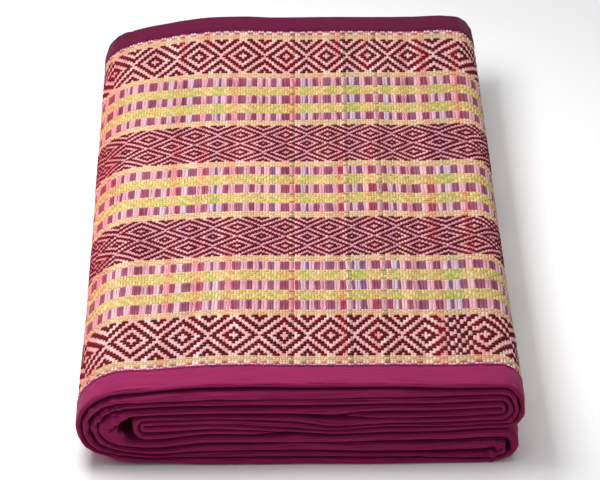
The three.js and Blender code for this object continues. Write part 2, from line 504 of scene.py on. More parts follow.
@dataclass
class Settling:
    """The unevenness of the whole bundle, which moves all of its pieces alike.

    The bound edges are thicker than the mat between them, so the pile is lower in its middle.
    """

    fold: Fold
    edge: EdgeShape
    half_width: float = 152.5 * MM
    half_length: float = 305 * MM
    # How far in from each end the bound edge starts to count, and counts in full.
    bound_inset: tuple[float, float] = (30 * MM, 3 * MM)
    sag: float = 0.071
    sag_reach: float = 300 * MM
    sag_power: float = 2.2
    # How much higher the top lies at places across the bundle, in millimetres, in rows from the
    # near end to the far end. It comes to nothing at the floor.
    rise_x: tuple[float, ...] = (
        -152, -130, -110, -90, -72, -50, -33, -14, 10, 30, 50, 65, 85, 105, 125, 140, 152,
    )
    rise_y: tuple[float, ...] = (-290, 0, 150, 240, 300)
    rises: Rows = (
        (3.5, 4.9, 4.6, 4.0, 3.4, 3.6, 3.0, 1.4, 0.8, 0.9, 1.2, 1.4, 1.1, 1.3, 2.2, 1.8, 0.8),
        (1.5, 2.4, 3.4, 2.7, 1.8, 2.2, 2.0, 0.6, 0.4, 0.8, 1.7, 1.9, 0.8, 1.0, 2.2, 1.8, 0.6),
        (0.6, 1.5, 3.2, 3.0, 2.4, 2.6, 2.2, 0.8, 0.7, 1.3, 1.9, 1.9, 0.9, 1.2, 2.6, 1.6, 0.3),
        (-1.0, 0.0, 2.2, 3.6, 3.5, 3.5, 3.1, 1.5, 1.2, 1.9, 2.5, 2.4, 1.7, 2.4, 3.6, 1.8, 0.0),
        (-3.2, -3.6, 0.8, 3.0, 3.6, 4.2, 3.8, 2.2, 1.9, 2.2, 2.4, 2.2, 1.8, 2.2, 3.8, 2.6, -0.2),
    )
    rise_full_z: float = 60 * MM
    # How much of it is left at the near edge, in the gap under the top layer and over it.
    near_share: tuple[float, float] = (0.0, 0.5)
    near_gaps: tuple[float, float] = (10.5, 11.5)
    near_share_x: tuple[float, float] = (-146 * MM, -112 * MM)
    # How far the waves of the top, as a share of the height, of the sides and of the ends reach.
    top_wave: float = 0.008
    side_wave: float = 0.7 * MM
    end_wave: float = 0.5 * MM
    # How much shorter the waves of the ends are up the pile than across it.
    end_squeeze: float = 4.0
    top: Ripple = Ripple(seed=3, waves=6, lengths=(0.10, 0.3), axes=2)
    sides: Ripple = Ripple(seed=5, waves=4, lengths=(0.18, 0.6), axes=2)
    ends: Ripple = Ripple(seed=8, waves=7, lengths=(0.03, 0.2), axes=2)

    def apply(self, points: np.ndarray) -> np.ndarray:
        """Moves points from the even fold to the settled one.

        Args:
            points: Points with X, Y and Z.

        Returns:
            The moved points. What lies on the floor stays on it.
        """
        x, y, z = points[..., 0], points[..., 1], points[..., 2]
        first, full = (self.half_length - inset for inset in self.bound_inset)
        bound = smooth_share(np.abs(y), first, full)
        layer = self.fold.layer_at(x / MM, z / MM)
        raised = self.edge.read(self.edge.gap_rises, self.edge.first_gap, layer, x / MM) * MM
        lowered = self.sag * (1 - np.clip(np.abs(y) / self.sag_reach, 0, 1) ** self.sag_power)
        share = np.interp(layer, self.near_gaps, self.near_share) * smooth_share(x, *self.near_share_x)
        loose = self.loose(x / MM, y / MM) * MM * np.clip(z / self.rise_full_z, 0, 1)
        loose = loose * (1 - bound * (y < 0) * (1 - share))
        side = np.clip(np.abs(x) / self.half_width, 0, 1) ** 2 * np.sign(x)
        return np.stack([
            x + self.side_wave * side * self.sides.at(y, z),
            y - np.sign(y) * bound * self.end_wave * self.ends.at(x, z * self.end_squeeze),
            z * (1 + self.top_wave * self.top.at(x, y) - lowered) + bound * raised + loose,
        ], axis=-1)

    def loose(self, x: np.ndarray, y: np.ndarray) -> np.ndarray:
        """How much higher the top lies at places across and along the bundle, all in millimetres."""
        rows = [np.interp(x, self.rise_x, row) for row in self.rises]
        return smooth_table(y, self.rise_y, rows)


# The twill: a yarn goes over two strands and under two, and a point runs up and down the shafts.
TWILL = 4
SHAFTS = 8
CHECK_SHAFT = 2


class Kind(Enum):
    """The kinds of stripe and band that run along the mat."""

    CHECK = "check"
    YELLOW = "yellow"
    CREAM = "cream"
    SELVEDGE = "selvedge"
    DIAMOND = "diamond"
    FINE_DIAMOND = "fine diamond"


@dataclass(frozen=True)
class Band:
    """One stripe on each half of the mat, in millimetres from the middle line outwards."""

    kind: Kind
    inner: float
    outer: float
    yarns: int

    def pitch(self) -> float:
        """The distance between the band's yarns, in millimetres."""
        return (self.outer - self.inner) / self.yarns

    def yarn_places(self) -> np.ndarray:
        """Distances of the band's yarns from the middle line, in metres."""
        return (self.inner + (np.arange(self.yarns) + 0.5) * self.pitch()) * MM

    def threading(self) -> np.ndarray:
        """The shaft that each yarn is threaded on, in the order of the yarns.

        Returns:
            Shaft numbers, from 0 to 8.
        """
        yarn = np.arange(self.yarns)
        if self.kind is Kind.CHECK:
            return np.full(self.yarns, CHECK_SHAFT)
        if self.kind in (Kind.DIAMOND, Kind.FINE_DIAMOND):
            return np.abs(yarn % (2 * SHAFTS) - SHAFTS)
        return yarn if self.kind is Kind.YELLOW else yarn % 2 * 2


@dataclass(frozen=True)
class Palette:
    """The colours of a band, each row from the palest strands to the deepest.

    The red and the blue ones are those of the odd strands.
    """

    grass: tuple[Colour, ...]
    yarn: tuple[Colour, ...]
    red_grass: Colour
    red_yarn: Colour
    blue_grass: Colour
    blue_yarn: Colour


PALETTES: dict[Kind, Palette] = {
    Kind.CHECK: Palette(
        grass=(srgb(238, 190, 192), srgb(224, 164, 172), srgb(208, 140, 154), srgb(190, 118, 136)),
        yarn=(srgb(156, 86, 108), srgb(146, 60, 92), srgb(128, 42, 74), srgb(104, 34, 58)),
        red_grass=srgb(228, 126, 140),
        red_yarn=srgb(164, 26, 60),
        blue_grass=srgb(200, 179, 198),
        blue_yarn=srgb(112, 72, 114),
    ),
    Kind.YELLOW: Palette(
        grass=(srgb(232, 207, 155), srgb(224, 196, 138), srgb(215, 186, 124), srgb(203, 177, 114)),
        yarn=(srgb(220, 190, 122), srgb(211, 180, 109), srgb(201, 171, 99), srgb(190, 162, 89)),
        red_grass=srgb(224, 169, 118),
        red_yarn=srgb(211, 142, 91),
        blue_grass=srgb(194, 190, 113),
        blue_yarn=srgb(169, 173, 81),
    ),
    Kind.CREAM: Palette(
        grass=(srgb(242, 217, 190), srgb(234, 198, 163), srgb(227, 180, 146), srgb(217, 169, 138)),
        yarn=(srgb(227, 184, 132), srgb(217, 169, 115), srgb(205, 154, 104)),
        red_grass=srgb(230, 165, 140),
        red_yarn=srgb(211, 135, 100),
        blue_grass=srgb(213, 194, 161),
        blue_yarn=srgb(196, 169, 117),
    ),
    Kind.SELVEDGE: Palette(
        grass=(srgb(254, 228, 216), srgb(246, 202, 196), srgb(234, 178, 184)),
        yarn=(srgb(206, 136, 146), srgb(182, 96, 120), srgb(150, 60, 92)),
        red_grass=srgb(240, 164, 160),
        red_yarn=srgb(176, 70, 96),
        blue_grass=srgb(228, 196, 196),
        blue_yarn=srgb(160, 90, 120),
    ),
    Kind.DIAMOND: Palette(
        grass=(srgb(252, 212, 208), srgb(242, 182, 180), srgb(232, 160, 160), srgb(220, 140, 144)),
        yarn=(srgb(114, 12, 28), srgb(98, 8, 20), srgb(80, 2, 14)),
        red_grass=srgb(222, 138, 142),
        red_yarn=srgb(132, 10, 28),
        blue_grass=srgb(228, 166, 178),
        blue_yarn=srgb(80, 6, 24),
    ),
    Kind.FINE_DIAMOND: Palette(
        grass=(srgb(240, 180, 182), srgb(226, 152, 156), srgb(210, 134, 142), srgb(194, 116, 130)),
        yarn=(srgb(114, 18, 38), srgb(98, 12, 32), srgb(80, 4, 24)),
        red_grass=srgb(204, 112, 122),
        red_yarn=srgb(126, 12, 30),
        blue_grass=srgb(206, 142, 162),
        blue_yarn=srgb(92, 12, 36),
    ),
}


@dataclass
class Weave:
    """The mat's drawing-in: where its strands and yarns lie, and which of them shows where."""

    line: SheetLine
    bands: tuple[Band, ...] = (
        Band(Kind.CHECK, -7.6, 7.6, 4),
        Band(Kind.YELLOW, 7.6, 23.5, 5),
        Band(Kind.CHECK, 23.5, 37.8, 4),
        Band(Kind.CREAM, 37.8, 46.9, 3),
        Band(Kind.FINE_DIAMOND, 46.9, 109.3, 33),
        Band(Kind.CREAM, 109.3, 117.8, 3),
        Band(Kind.CHECK, 117.8, 131.9, 4),
        Band(Kind.YELLOW, 131.9, 148.4, 5),
        Band(Kind.CHECK, 148.4, 163.8, 4),
        Band(Kind.YELLOW, 163.8, 179.0, 5),
        Band(Kind.CHECK, 179.0, 194.9, 4),
        Band(Kind.CREAM, 194.9, 203.2, 3),
        Band(Kind.DIAMOND, 203.2, 263.3, 17),
        Band(Kind.CREAM, 263.3, 272.3, 3),
        Band(Kind.SELVEDGE, 272.3, 278.4, 2),
    )
    repeat: int = 2 * SHAFTS
    strand_pitch: float = 2.19 * MM
    # Where the diamond columns lie across the top of the bundle, right to left, in millimetres.
    diamond_x: tuple[float, ...] = (134.7, 92.8, 60.2, 26.9, -5.4, -40.5, -76.0, -111.6)
    # How far the strands lean to the right on their way from the front to the back.
    lean: float = 7.0 / 462
    # How unevenly the strands lie, as a share of their pitch.
    jitter_spread: float = 0.09
    # The usual shade in the palette, and what the waves and chance add to it.
    shade: float = 0.42
    shade_wave: float = 0.3
    shade_spread: float = 0.12
    # The wave heights at which a strand starts to be of the odd colour, and is all of it.
    red_from: tuple[float, float] = (0.38, 0.8)
    blue_from: tuple[float, float] = (0.02, 0.6)
    # The same for the places along a strand that are dyed red, and how much of the blue they hide.
    dyed_from: tuple[float, float] = (-0.3, 0.4)
    blue_hidden: float = 0.5
    # How far round the left side the strands turn warm, and how much of them does.
    warm_from: float = 24 * MM
    warm_share: float = 0.7
    # Where single strands are duller than the rest, in millimetres, and how much colour they keep.
    dull_x: tuple[float, ...] = (-1.0, 41.0, 64.3)
    dull_share: float = 0.55
    # How the shade changes along a strand, and how slowly against its change across the strands.
    drift_wave: float = 0.3
    drift_stretch: float = 0.3
    # How much floats differ from the next in shade and in lightness, and the least and the most.
    float_spread: float = 0.05
    light_range: tuple[float, float] = (0.8, 1.2)
    # How far a stripe strays from its straight line.
    stray: float = 0.6 * MM
    seed: int = 21
    shades: Ripple = Ripple(seed=23, waves=8, lengths=(6 * MM, 26 * MM), axes=1)
    groups: Ripple = Ripple(seed=13, waves=8, lengths=(9 * MM, 40 * MM), axes=1)
    drift: Ripple = Ripple(seed=17, waves=8, lengths=(12 * MM, 60 * MM), axes=2)
    dye: Ripple = Ripple(seed=19, waves=6, lengths=(60 * MM, 260 * MM), axes=2)
    wander: Ripple = Ripple(seed=34, waves=5, lengths=(0.03, 0.12), axes=2)
    first: int = field(init=False)
    key_u: np.ndarray = field(init=False)
    key_strand: np.ndarray = field(init=False)
    jitter: np.ndarray = field(init=False)
    strand_shade: np.ndarray = field(init=False)
    red: np.ndarray = field(init=False)
    blue: np.ndarray = field(init=False)
    warm: np.ndarray = field(init=False)
    light: np.ndarray = field(init=False)

    def __post_init__(self) -> None:
        """Places every strand of the mat along the folded sheet, and draws its shade."""
        known_u = self.on_top(self.diamond_x)
        before = math.ceil(known_u[0] / self.strand_pitch)
        after = math.ceil((self.line.length - known_u[-1]) / self.strand_pitch)
        last = (len(known_u) - 1) * self.repeat + after
        ends_u = (known_u[0] - before * self.strand_pitch, known_u[-1] + after * self.strand_pitch)
        self.first = -before
        self.key_u = np.concatenate([ends_u[:1], known_u, ends_u[1:]])
        self.key_strand = np.concatenate([[self.first], np.arange(len(known_u)) * self.repeat, [last]])
        count = last - self.first + 1
        along = np.arange(count) * self.strand_pitch
        draw = np.random.default_rng(self.seed)
        self.jitter = draw.normal(0, self.jitter_spread, count)
        chance = draw.normal(0, self.shade_spread, count)
        self.strand_shade = self.shade + self.shade_wave * self.shades.at(along) + chance
        self.red = smooth_share(self.groups.at(along), *self.red_from)
        self.blue = smooth_share(-self.groups.at(along), *self.blue_from)
        self.warm, self.light = np.zeros(count), np.ones(count)
        left_side = np.array(self.line.spans["left_outer"]) + (self.warm_from, 0)
        warm = slice(*(self.strand_at(left_side, 0.0).astype(int) - self.first))
        self.red[warm], self.blue[warm], self.warm[warm] = 1, 0, self.warm_share
        dull = np.floor(self.strand_at(self.on_top(self.dull_x), 0.0)).astype(int)
        self.light[dull - self.first] = self.dull_share

    def on_top(self, x: Sequence[float]) -> np.ndarray:
        """Finds places on the top of the bundle.

        Args:
            x: Places across it, in millimetres.

        Returns:
            Their distances u along the sheet.
        """
        low, high = self.line.spans[self.line.fold.top]
        on_top = (self.line.u >= low) & (self.line.u <= high)
        return np.interp(-np.array(x) * MM, -self.line.points[on_top, 0], self.line.u[on_top])

    def strand_at(self, u: np.ndarray, y: np.ndarray) -> np.ndarray:
        """The strand number, with its fraction, at a place on the sheet."""
        return np.interp(u + self.lean * y, self.key_u, self.key_strand)

    def u_of(self, strand: np.ndarray, y: np.ndarray) -> np.ndarray:
        """Finds where a strand crosses a line across the mat.

        Args:
            strand: Strand numbers, with their fractions.
            y: The line's place.

        Returns:
            Distances u along the sheet.
        """
        number = np.clip(np.floor(strand).astype(int) - self.first, 0, len(self.jitter) - 1)
        shifted = strand + self.jitter[number]
        return np.interp(shifted, self.key_strand, self.key_u) - self.lean * y

    def strayed(self, u: np.ndarray, y: np.ndarray) -> np.ndarray:
        """How far a stripe strays from its straight line at distances u."""
        return self.stray * self.wander.at(u, y)

    def covered(self, strand: np.ndarray, shaft: int) -> np.ndarray:
        """Whether a yarn on a shaft lies over the strands.

        Args:
            strand: Whole strand numbers.
            shaft: The yarn's shaft.

        Returns:
            True where the yarn shows, False where the grass does.
        """
        half = self.repeat // 2
        lift = half - np.abs(np.mod(strand, self.repeat) - half)
        return (lift + shaft) % TWILL >= TWILL // 2

    def tint(self, kind: Kind, strand: np.ndarray, y: np.ndarray, yarn: bool, seed: int) -> np.ndarray:
        """The colour of each float.

        Args:
            kind: The band's kind.
            strand: The strand that each float lies on, or starts on.
            y: The float's place across the mat.
            yarn: True for yarn, False for grass.
            seed: Fixes the small differences from one float to the next.

        Returns:
            A row of red, green, blue and alpha for each float.
        """
        palette = PALETTES[kind]
        if yarn:
            row, red, blue = palette.yarn, palette.red_yarn, palette.blue_yarn
        else:
            row, red, blue = palette.grass, palette.red_grass, palette.blue_grass
        colours = np.array(row)
        number = np.clip(strand - self.first, 0, len(self.light) - 1)
        along = strand * self.strand_pitch
        draw = np.random.default_rng(seed)
        drift = self.drift_wave * self.drift.at(along, y * self.drift_stretch)
        shade = self.strand_shade[number] + drift + draw.normal(0, self.float_spread, len(strand))
        mixed = np.clip(shade, 0, 0.999) * (len(colours) - 1)
        low = np.floor(mixed).astype(int)
        chosen = colours[low] + (colours[low + 1] - colours[low]) * (mixed - low)[:, None]
        dyed = np.maximum(smooth_share(self.dye.at(along, y), *self.dyed_from), self.warm[number])
        chosen = chosen + (np.array(red) - chosen) * (self.red[number] * dyed)[:, None]
        bluish = self.blue[number] * (1 - self.blue_hidden * dyed)
        chosen = chosen + (np.array(blue) - chosen) * bluish[:, None]
        lightness = draw.normal(1, self.float_spread, len(strand)).clip(*self.light_range)
        chosen = chosen * (self.light[number] * lightness)[:, None]
        return np.concatenate([chosen, np.ones((len(strand), 1))], axis=1)


def new_object(name: str, points: np.ndarray, faces: Sequence[Sequence[int]]) -> bpy.types.Object:
    """Makes a smooth-shaded mesh object at the origin.

    Args:
        name: The object's name.
        points: Its points, in metres.
        faces: Its faces, as lists of point numbers.

    Returns:
        The new object, linked to the scene.
    """
    mesh = bpy.data.meshes.new(name)
    mesh.from_pydata(np.asarray(points, float).reshape(-1, 3).tolist(), [], [list(f) for f in faces])
    mesh.update()
    mesh.shade_smooth()
    piece = bpy.data.objects.new(name, mesh)
    bpy.context.scene.collection.objects.link(piece)
    return piece


def loop_faces(rows: int, ring: int) -> list[tuple[int, ...]]:
    """Faces of a closed tube: rows of points round a ring, with a flat face at each end.

    Args:
        rows: How many rows along the tube.
        ring: How many points round it.

    Returns:
        The faces, turned outwards where the ring runs anticlockwise seen from the last row.
    """
    faces: list[tuple[int, ...]] = []
    for row in range(rows - 1):
        for k in range(ring):
            here, there = row * ring + k, row * ring + (k + 1) % ring
            faces.append((here, there, there + ring, here + ring))
    faces.append(tuple(reversed(range(ring))))
    faces.append(tuple(range((rows - 1) * ring, rows * ring)))
    return faces


def turn_outwards(piece: bpy.types.Object) -> None:
    """Turns all faces of a closed mesh round if they point inwards.

    Args:
        piece: The piece with that mesh.
    """
    mesh = piece.data
    points = np.array([v.co for v in mesh.vertices])
    mesh.calc_loop_triangles()
    corners = points[np.array([t.vertices for t in mesh.loop_triangles])]
    volume = np.einsum("ij,ij->i", corners[:, 0], np.cross(corners[:, 1], corners[:, 2])).sum()
    if volume < 0:
        mesh.flip_normals()


def write_uv(piece: bpy.types.Object, name: str, flat: np.ndarray) -> None:
    """Gives a piece a UV map.

    Args:
        piece: The piece.
        name: The map's name.
        flat: A pair of coordinates for each point of its mesh, in the points' order.
    """
    corner = np.array([loop.vertex_index for loop in piece.data.loops])
    layer = piece.data.uv_layers.new(name=name)
    layer.data.foreach_set("uv", flat.reshape(-1, 2)[corner].ravel())


class Nodes:
    """A small helper that writes nodes into a tree."""

    def __init__(self, tree: bpy.types.NodeTree) -> None:
        """Takes the tree."""
        self.tree = tree

    def feed(self, socket: bpy.types.NodeSocket, value: Value) -> None:
        """Links a socket to another one, or sets its value.

        Args:
            socket: The socket that takes the value.
            value: A socket, a number, a colour or three factors.
        """
        if isinstance(value, bpy.types.NodeSocket):
            self.tree.links.new(value, socket)
        elif socket.type == "RGBA":
            socket.default_value = (*value, 1.0)
        else:
            socket.default_value = value

    def add(self, kind: str, inputs: dict[Union[str, int], Value], **settings: str) -> bpy.types.Node:
        """Adds a node.

        Args:
            kind: Its type.
            inputs: What goes into its sockets, by their names or numbers.
            **settings: Its properties.

        Returns:
            The node.
        """
        node = self.tree.nodes.new(kind)
        for name, value in settings.items():
            setattr(node, name, value)
        for key, value in inputs.items():
            self.feed(node.inputs[key], value)
        return node


class Shader(Nodes):
    """A small helper that writes a material's nodes."""

    def __init__(self, name: str) -> None:
        """Starts a material with its main shader and output.

        Args:
            name: The material's name.
        """
        self.material = bpy.data.materials.new(name)
        self.material.use_nodes = True
        super().__init__(self.material.node_tree)
        self.main = self.tree.nodes["Principled BSDF"]

    def finish(self, **values: Value) -> None:
        """Sets inputs of the main shader, named with underscores for their spaces."""
        for name, value in values.items():
            self.feed(self.main.inputs[name.replace("_", " ")], value)

    def place(self) -> bpy.types.NodeSocket:
        """The Object coordinates."""
        return self.add("ShaderNodeTexCoord", {}).outputs["Object"]

    def uv(self, name: str) -> bpy.types.NodeSocket:
        """The coordinates of a UV map."""
        return self.add("ShaderNodeUVMap", {}, uv_map=name).outputs["UV"]

    def split(self, where: bpy.types.NodeSocket) -> tuple[bpy.types.NodeSocket, bpy.types.NodeSocket]:
        """The X and the Y of coordinates."""
        node = self.add("ShaderNodeSeparateXYZ", {0: where})
        return node.outputs["X"], node.outputs["Y"]

    def math(self, operation: str, *values: Value) -> bpy.types.NodeSocket:
        """The result of a Math node's operation on values."""
        return self.add("ShaderNodeMath", dict(enumerate(values)), operation=operation).outputs[0]

    def weighed(self, *parts: tuple[bpy.types.NodeSocket, float]) -> bpy.types.NodeSocket:
        """Adds up values.

        Args:
            *parts: Each value with its weight.

        Returns:
            The weighed sum.
        """
        total, *others = [self.math("MULTIPLY", value, weight) for value, weight in parts]
        for part in others:
            total = self.math("ADD", total, part)
        return total

    def mix(self, factor: Value, first: Value, second: Value) -> bpy.types.NodeSocket:
        """A mix of two colours, all of the first one at factor 0."""
        inputs = {"Factor": factor, "A": first, "B": second}
        return self.add("ShaderNodeMix", inputs, data_type="RGBA").outputs["Result"]

    def noise(self, where: bpy.types.NodeSocket, scale: float, detail: float) -> bpy.types.NodeSocket:
        """The value of a noise texture, about 0.5, with so many finer layers as its detail."""
        inputs = {"Vector": where, "Scale": scale, "Detail": detail}
        return self.add("ShaderNodeTexNoise", inputs).outputs["Fac"]

    def stretched(self, where: bpy.types.NodeSocket, scale: Place) -> bpy.types.NodeSocket:
        """Coordinates times a factor for each axis."""
        return self.add("ShaderNodeMapping", {"Vector": where, "Scale": scale}).outputs["Vector"]

    def bump(self, height: bpy.types.NodeSocket, strength: float, depth: float) -> None:
        """Gives the main shader a relief of a height from 0 to 1, and a depth in metres."""
        node = self.add("ShaderNodeBump", {"Height": height, "Strength": strength, "Distance": depth})
        self.feed(self.main.inputs["Normal"], node.outputs["Normal"])


@dataclass(frozen=True)
class FloatFinish:
    """The finish of the floats: each one's own colour, streaked along its length."""

    name: str
    roughness: float
    streak: float
    streak_scale: Place
    shine: float = 0.35
    groove: Colour = (0.05, 0.02, 0.02)
    relief: float = 0.35
    relief_depth: float = 0.15 * MM

    def material(self) -> bpy.types.Material:
        """Makes the material.

        Returns:
            The material, which reads each float's colour from the attribute tint.
        """
        shader = Shader(self.name)
        tint = shader.add("ShaderNodeAttribute", {}, attribute_name="tint").outputs["Color"]
        fine = shader.noise(shader.stretched(shader.place(), self.streak_scale), 1.0, 2.0)
        dark = shader.math("MULTIPLY", shader.math("SUBTRACT", 1.0, fine), self.streak)
        shader.finish(Base_Color=shader.mix(dark, tint, self.groove), Roughness=self.roughness,
                      Specular_IOR_Level=self.shine)
        shader.bump(fine, self.relief, self.relief_depth)
        return shader.material


@dataclass(frozen=True)
class GroundFinish:
    """The finish of the panel under its floats, with the same bands drawn in colour alone."""

    name: str = "woven_ground"
    roughness: float = 0.8
    # The gap colour, clouded over the bands, is painted shade for the ground that shows in the gaps between
    # the floats.
    gap: Colour = (0.09, 0.02, 0.03)
    gap_shade_share: float = 0.5
    cloud_scale: float = 90.0
    relief: float = 0.6
    relief_depth: float = 0.5 * MM

    def shaft(self, shader: Shader, band: Band, across: bpy.types.NodeSocket) -> Value:
        """Works out the shaft of the yarn at each place of a band, as its threading does.

        Args:
            shader: The material's helper.
            band: The band.
            across: The distance from the middle line, in millimetres.

        Returns:
            The shaft's number.
        """
        if band.kind is Kind.CHECK:
            return float(CHECK_SHAFT)
        inside = shader.math("SUBTRACT", across, band.inner)
        yarn = shader.math("FLOOR", shader.math("DIVIDE", inside, band.pitch()))
        if band.kind is Kind.YELLOW:
            return yarn
        if band.kind in (Kind.DIAMOND, Kind.FINE_DIAMOND):
            return shader.math("PINGPONG", shader.math("ADD", yarn, SHAFTS), SHAFTS)
        return shader.math("MULTIPLY", shader.math("MODULO", yarn, 2.0), 2.0)

    def material(self, weave: Weave) -> bpy.types.Material:
        """Makes the material.

        Args:
            weave: Gives the bands and their threading.

        Returns:
            The material, which reads the strand number and the place across from the UV map.
        """
        shader = Shader(self.name)
        along, side = shader.split(shader.uv("weave"))
        strand = shader.math("FLOOR", along)
        across = shader.math("ABSOLUTE", side)
        lift = shader.math("PINGPONG", strand, weave.repeat / 2)
        light: Value = PALETTES[Kind.CHECK].grass[0]
        dark: Value = PALETTES[Kind.CHECK].yarn[0]
        shaft: Value = float(CHECK_SHAFT)
        for band in weave.bands[1:]:
            inside = shader.math("GREATER_THAN", across, band.inner)
            light = shader.mix(inside, light, PALETTES[band.kind].grass[0])
            dark = shader.mix(inside, dark, PALETTES[band.kind].yarn[0])
            step = shader.math("SUBTRACT", self.shaft(shader, band, across), shaft)
            shaft = shader.math("MULTIPLY_ADD", inside, step, shaft)
        turn = shader.math("MODULO", shader.math("ADD", lift, shaft), TWILL)
        colour = shader.mix(shader.math("LESS_THAN", turn, TWILL / 2), dark, light)
        cloudy = shader.math("MULTIPLY", shader.noise(shader.place(), self.cloud_scale, 3.0), self.gap_shade_share)
        shader.finish(Base_Color=shader.mix(cloudy, colour, self.gap), Roughness=self.roughness)
        shader.bump(shader.math("PINGPONG", along, 0.5), self.relief, self.relief_depth)
        return shader.material


@dataclass(frozen=True)
class ClothFinish:
    """The binding's plain-woven cotton, creased along its length, with painted shade in its creases."""

    name: str
    colour: Colour
    shadow: Colour
    thread: float = 0.42
    roughness: float = 0.92
    shine: float = 0.2
    sheen: float = 0.18
    sheen_spread: float = 0.4
    sheen_colour: Colour = srgb(226, 150, 190)
    broad_scale: float = 26.0
    crease_stretch: Place = (0.03, 0.8, 1.0)
    fine_stretch: Place = (0.25, 1.6, 1.0)
    fine_scale: float = 1.4
    # What the creases, the fine folds, the broad clouds and the threads add to the shade, and the
    # threads, the creases and the fine folds to the relief. Where the creases and fine folds sink the
    # relief, the shadow colour is painted shade; the broad clouds and the threads are the cloth's own tone.
    shade_parts: tuple[float, ...] = (0.5, 0.2, 0.3, 0.14)
    relief_parts: tuple[float, ...] = (0.12, 1.0, 0.25)
    relief: float = 0.6
    relief_depth: float = 1.0 * MM

    def material(self) -> bpy.types.Material:
        """Makes the material.

        Returns:
            The material, which reads the cloth's own UV map in millimetres.
        """
        shader = Shader(self.name)
        uv = shader.uv("cloth")
        threads = [shader.math("PINGPONG", way, self.thread / 2) for way in shader.split(uv)]
        grain = shader.math("MULTIPLY", shader.math("ADD", *threads), 1 / self.thread)
        broad = shader.noise(shader.place(), self.broad_scale, 3.0)
        creased = shader.noise(shader.stretched(uv, self.crease_stretch), 1.0, 3.0)
        fine = shader.noise(shader.stretched(uv, self.fine_stretch), self.fine_scale, 2.0)
        shade = shader.weighed(*zip((creased, fine, broad, grain), self.shade_parts))
        shader.finish(
            Base_Color=shader.mix(shade, self.shadow, self.colour),
            Roughness=self.roughness,
            Specular_IOR_Level=self.shine,
            Sheen_Weight=self.sheen,
            Sheen_Roughness=self.sheen_spread,
            Sheen_Tint=self.sheen_colour,
        )
        height = shader.weighed(*zip((grain, creased, fine), self.relief_parts))
        shader.bump(height, self.relief, self.relief_depth)
        return shader.material


@dataclass
class WovenPanel:
    """The sheet itself: the woven panel under its floats."""

    line: SheetLine
    weave: Weave
    settling: Settling
    finish: GroundFinish = GroundFinish()
    half: float = 1.0 * MM
    rib: float = 0.18 * MM
    # Where the sheet thins out as it enters its binding, and how much of it goes.
    bound_y: tuple[float, float] = (277.5 * MM, 283 * MM)
    thinned: float = 0.55
    # The rows' spacing on all that shows, on the other runs and in the other turns.
    shown_row: float = 1.09 * MM
    run_row: float = 9 * MM
    turn_row: float = 1.2 * MM
    # Where the columns lie on each half of the outer and of the inner face, in millimetres.
    outer_y: tuple[float, ...] = (*range(15, 271, 15), 279, 283.5, 288, 292.5, 297, 301)
    inner_y: tuple[float, ...] = (100, 200, 265, 281, 289, 296, 301)

    def row(self, name: str) -> float:
        """The spacing of the rows on a run or turn, by its name."""
        hidden = self.run_row if name.startswith("run") else self.turn_row
        return self.shown_row if name in self.line.fold.shown else hidden

    def build(self, name: str) -> bpy.types.Object:
        """Makes the folded sheet as one closed mesh.

        Args:
            name: The piece's name.

        Returns:
            The panel, with strand numbers and places across the mat in its UV map.
        """
        outer, inner = np.array(self.outer_y) * MM, np.array(self.inner_y) * MM
        y = np.concatenate([-outer[::-1], [0.0], outer, inner[::-1], -inner])
        side = np.where(np.arange(len(y)) <= 2 * len(outer), 1.0, -1.0)
        u = self.line.stations(self.row)
        strand = self.weave.strand_at(u[:, None], y[None, :])
        rib = self.rib * np.cos(2 * math.pi * (strand % 1 - 0.5)) * (side > 0)
        thickness = 1 - self.thinned * smooth_share(np.abs(y), *self.bound_y)
        points = self.line.lift(u[:, None], y[None, :], (side * self.half + rib) * thickness)
        piece = new_object(name, self.settling.apply(points), loop_faces(len(u), len(y)))
        write_uv(piece, "weave", np.stack([strand, np.broadcast_to(y[None, :] / MM, strand.shape)], axis=-1))
        turn_outwards(piece)
        return piece

    def dress(self, piece: bpy.types.Object) -> None:
        """Gives the panel its material."""
        piece.data.materials.append(self.finish.material(self.weave))


@dataclass
class FloatTable:
    """Where floats lie: one row for each, with its middle, size and colour."""

    u: list[np.ndarray] = field(default_factory=list)
    y: list[np.ndarray] = field(default_factory=list)
    size: list[np.ndarray] = field(default_factory=list)
    tint: list[np.ndarray] = field(default_factory=list)

    def add(self, u: np.ndarray, y: np.ndarray, size: np.ndarray, tint: np.ndarray) -> None:
        """Adds floats, with their distances along the sheet, places across it, sizes and colours."""
        for column, values in zip((self.u, self.y, self.size, self.tint), (u, y, size, tint)):
            column.append(values)

    def joined(self) -> tuple[np.ndarray, np.ndarray, np.ndarray, np.ndarray]:
        """The whole table as four arrays."""
        return tuple(np.concatenate(column) for column in (self.u, self.y, self.size, self.tint))


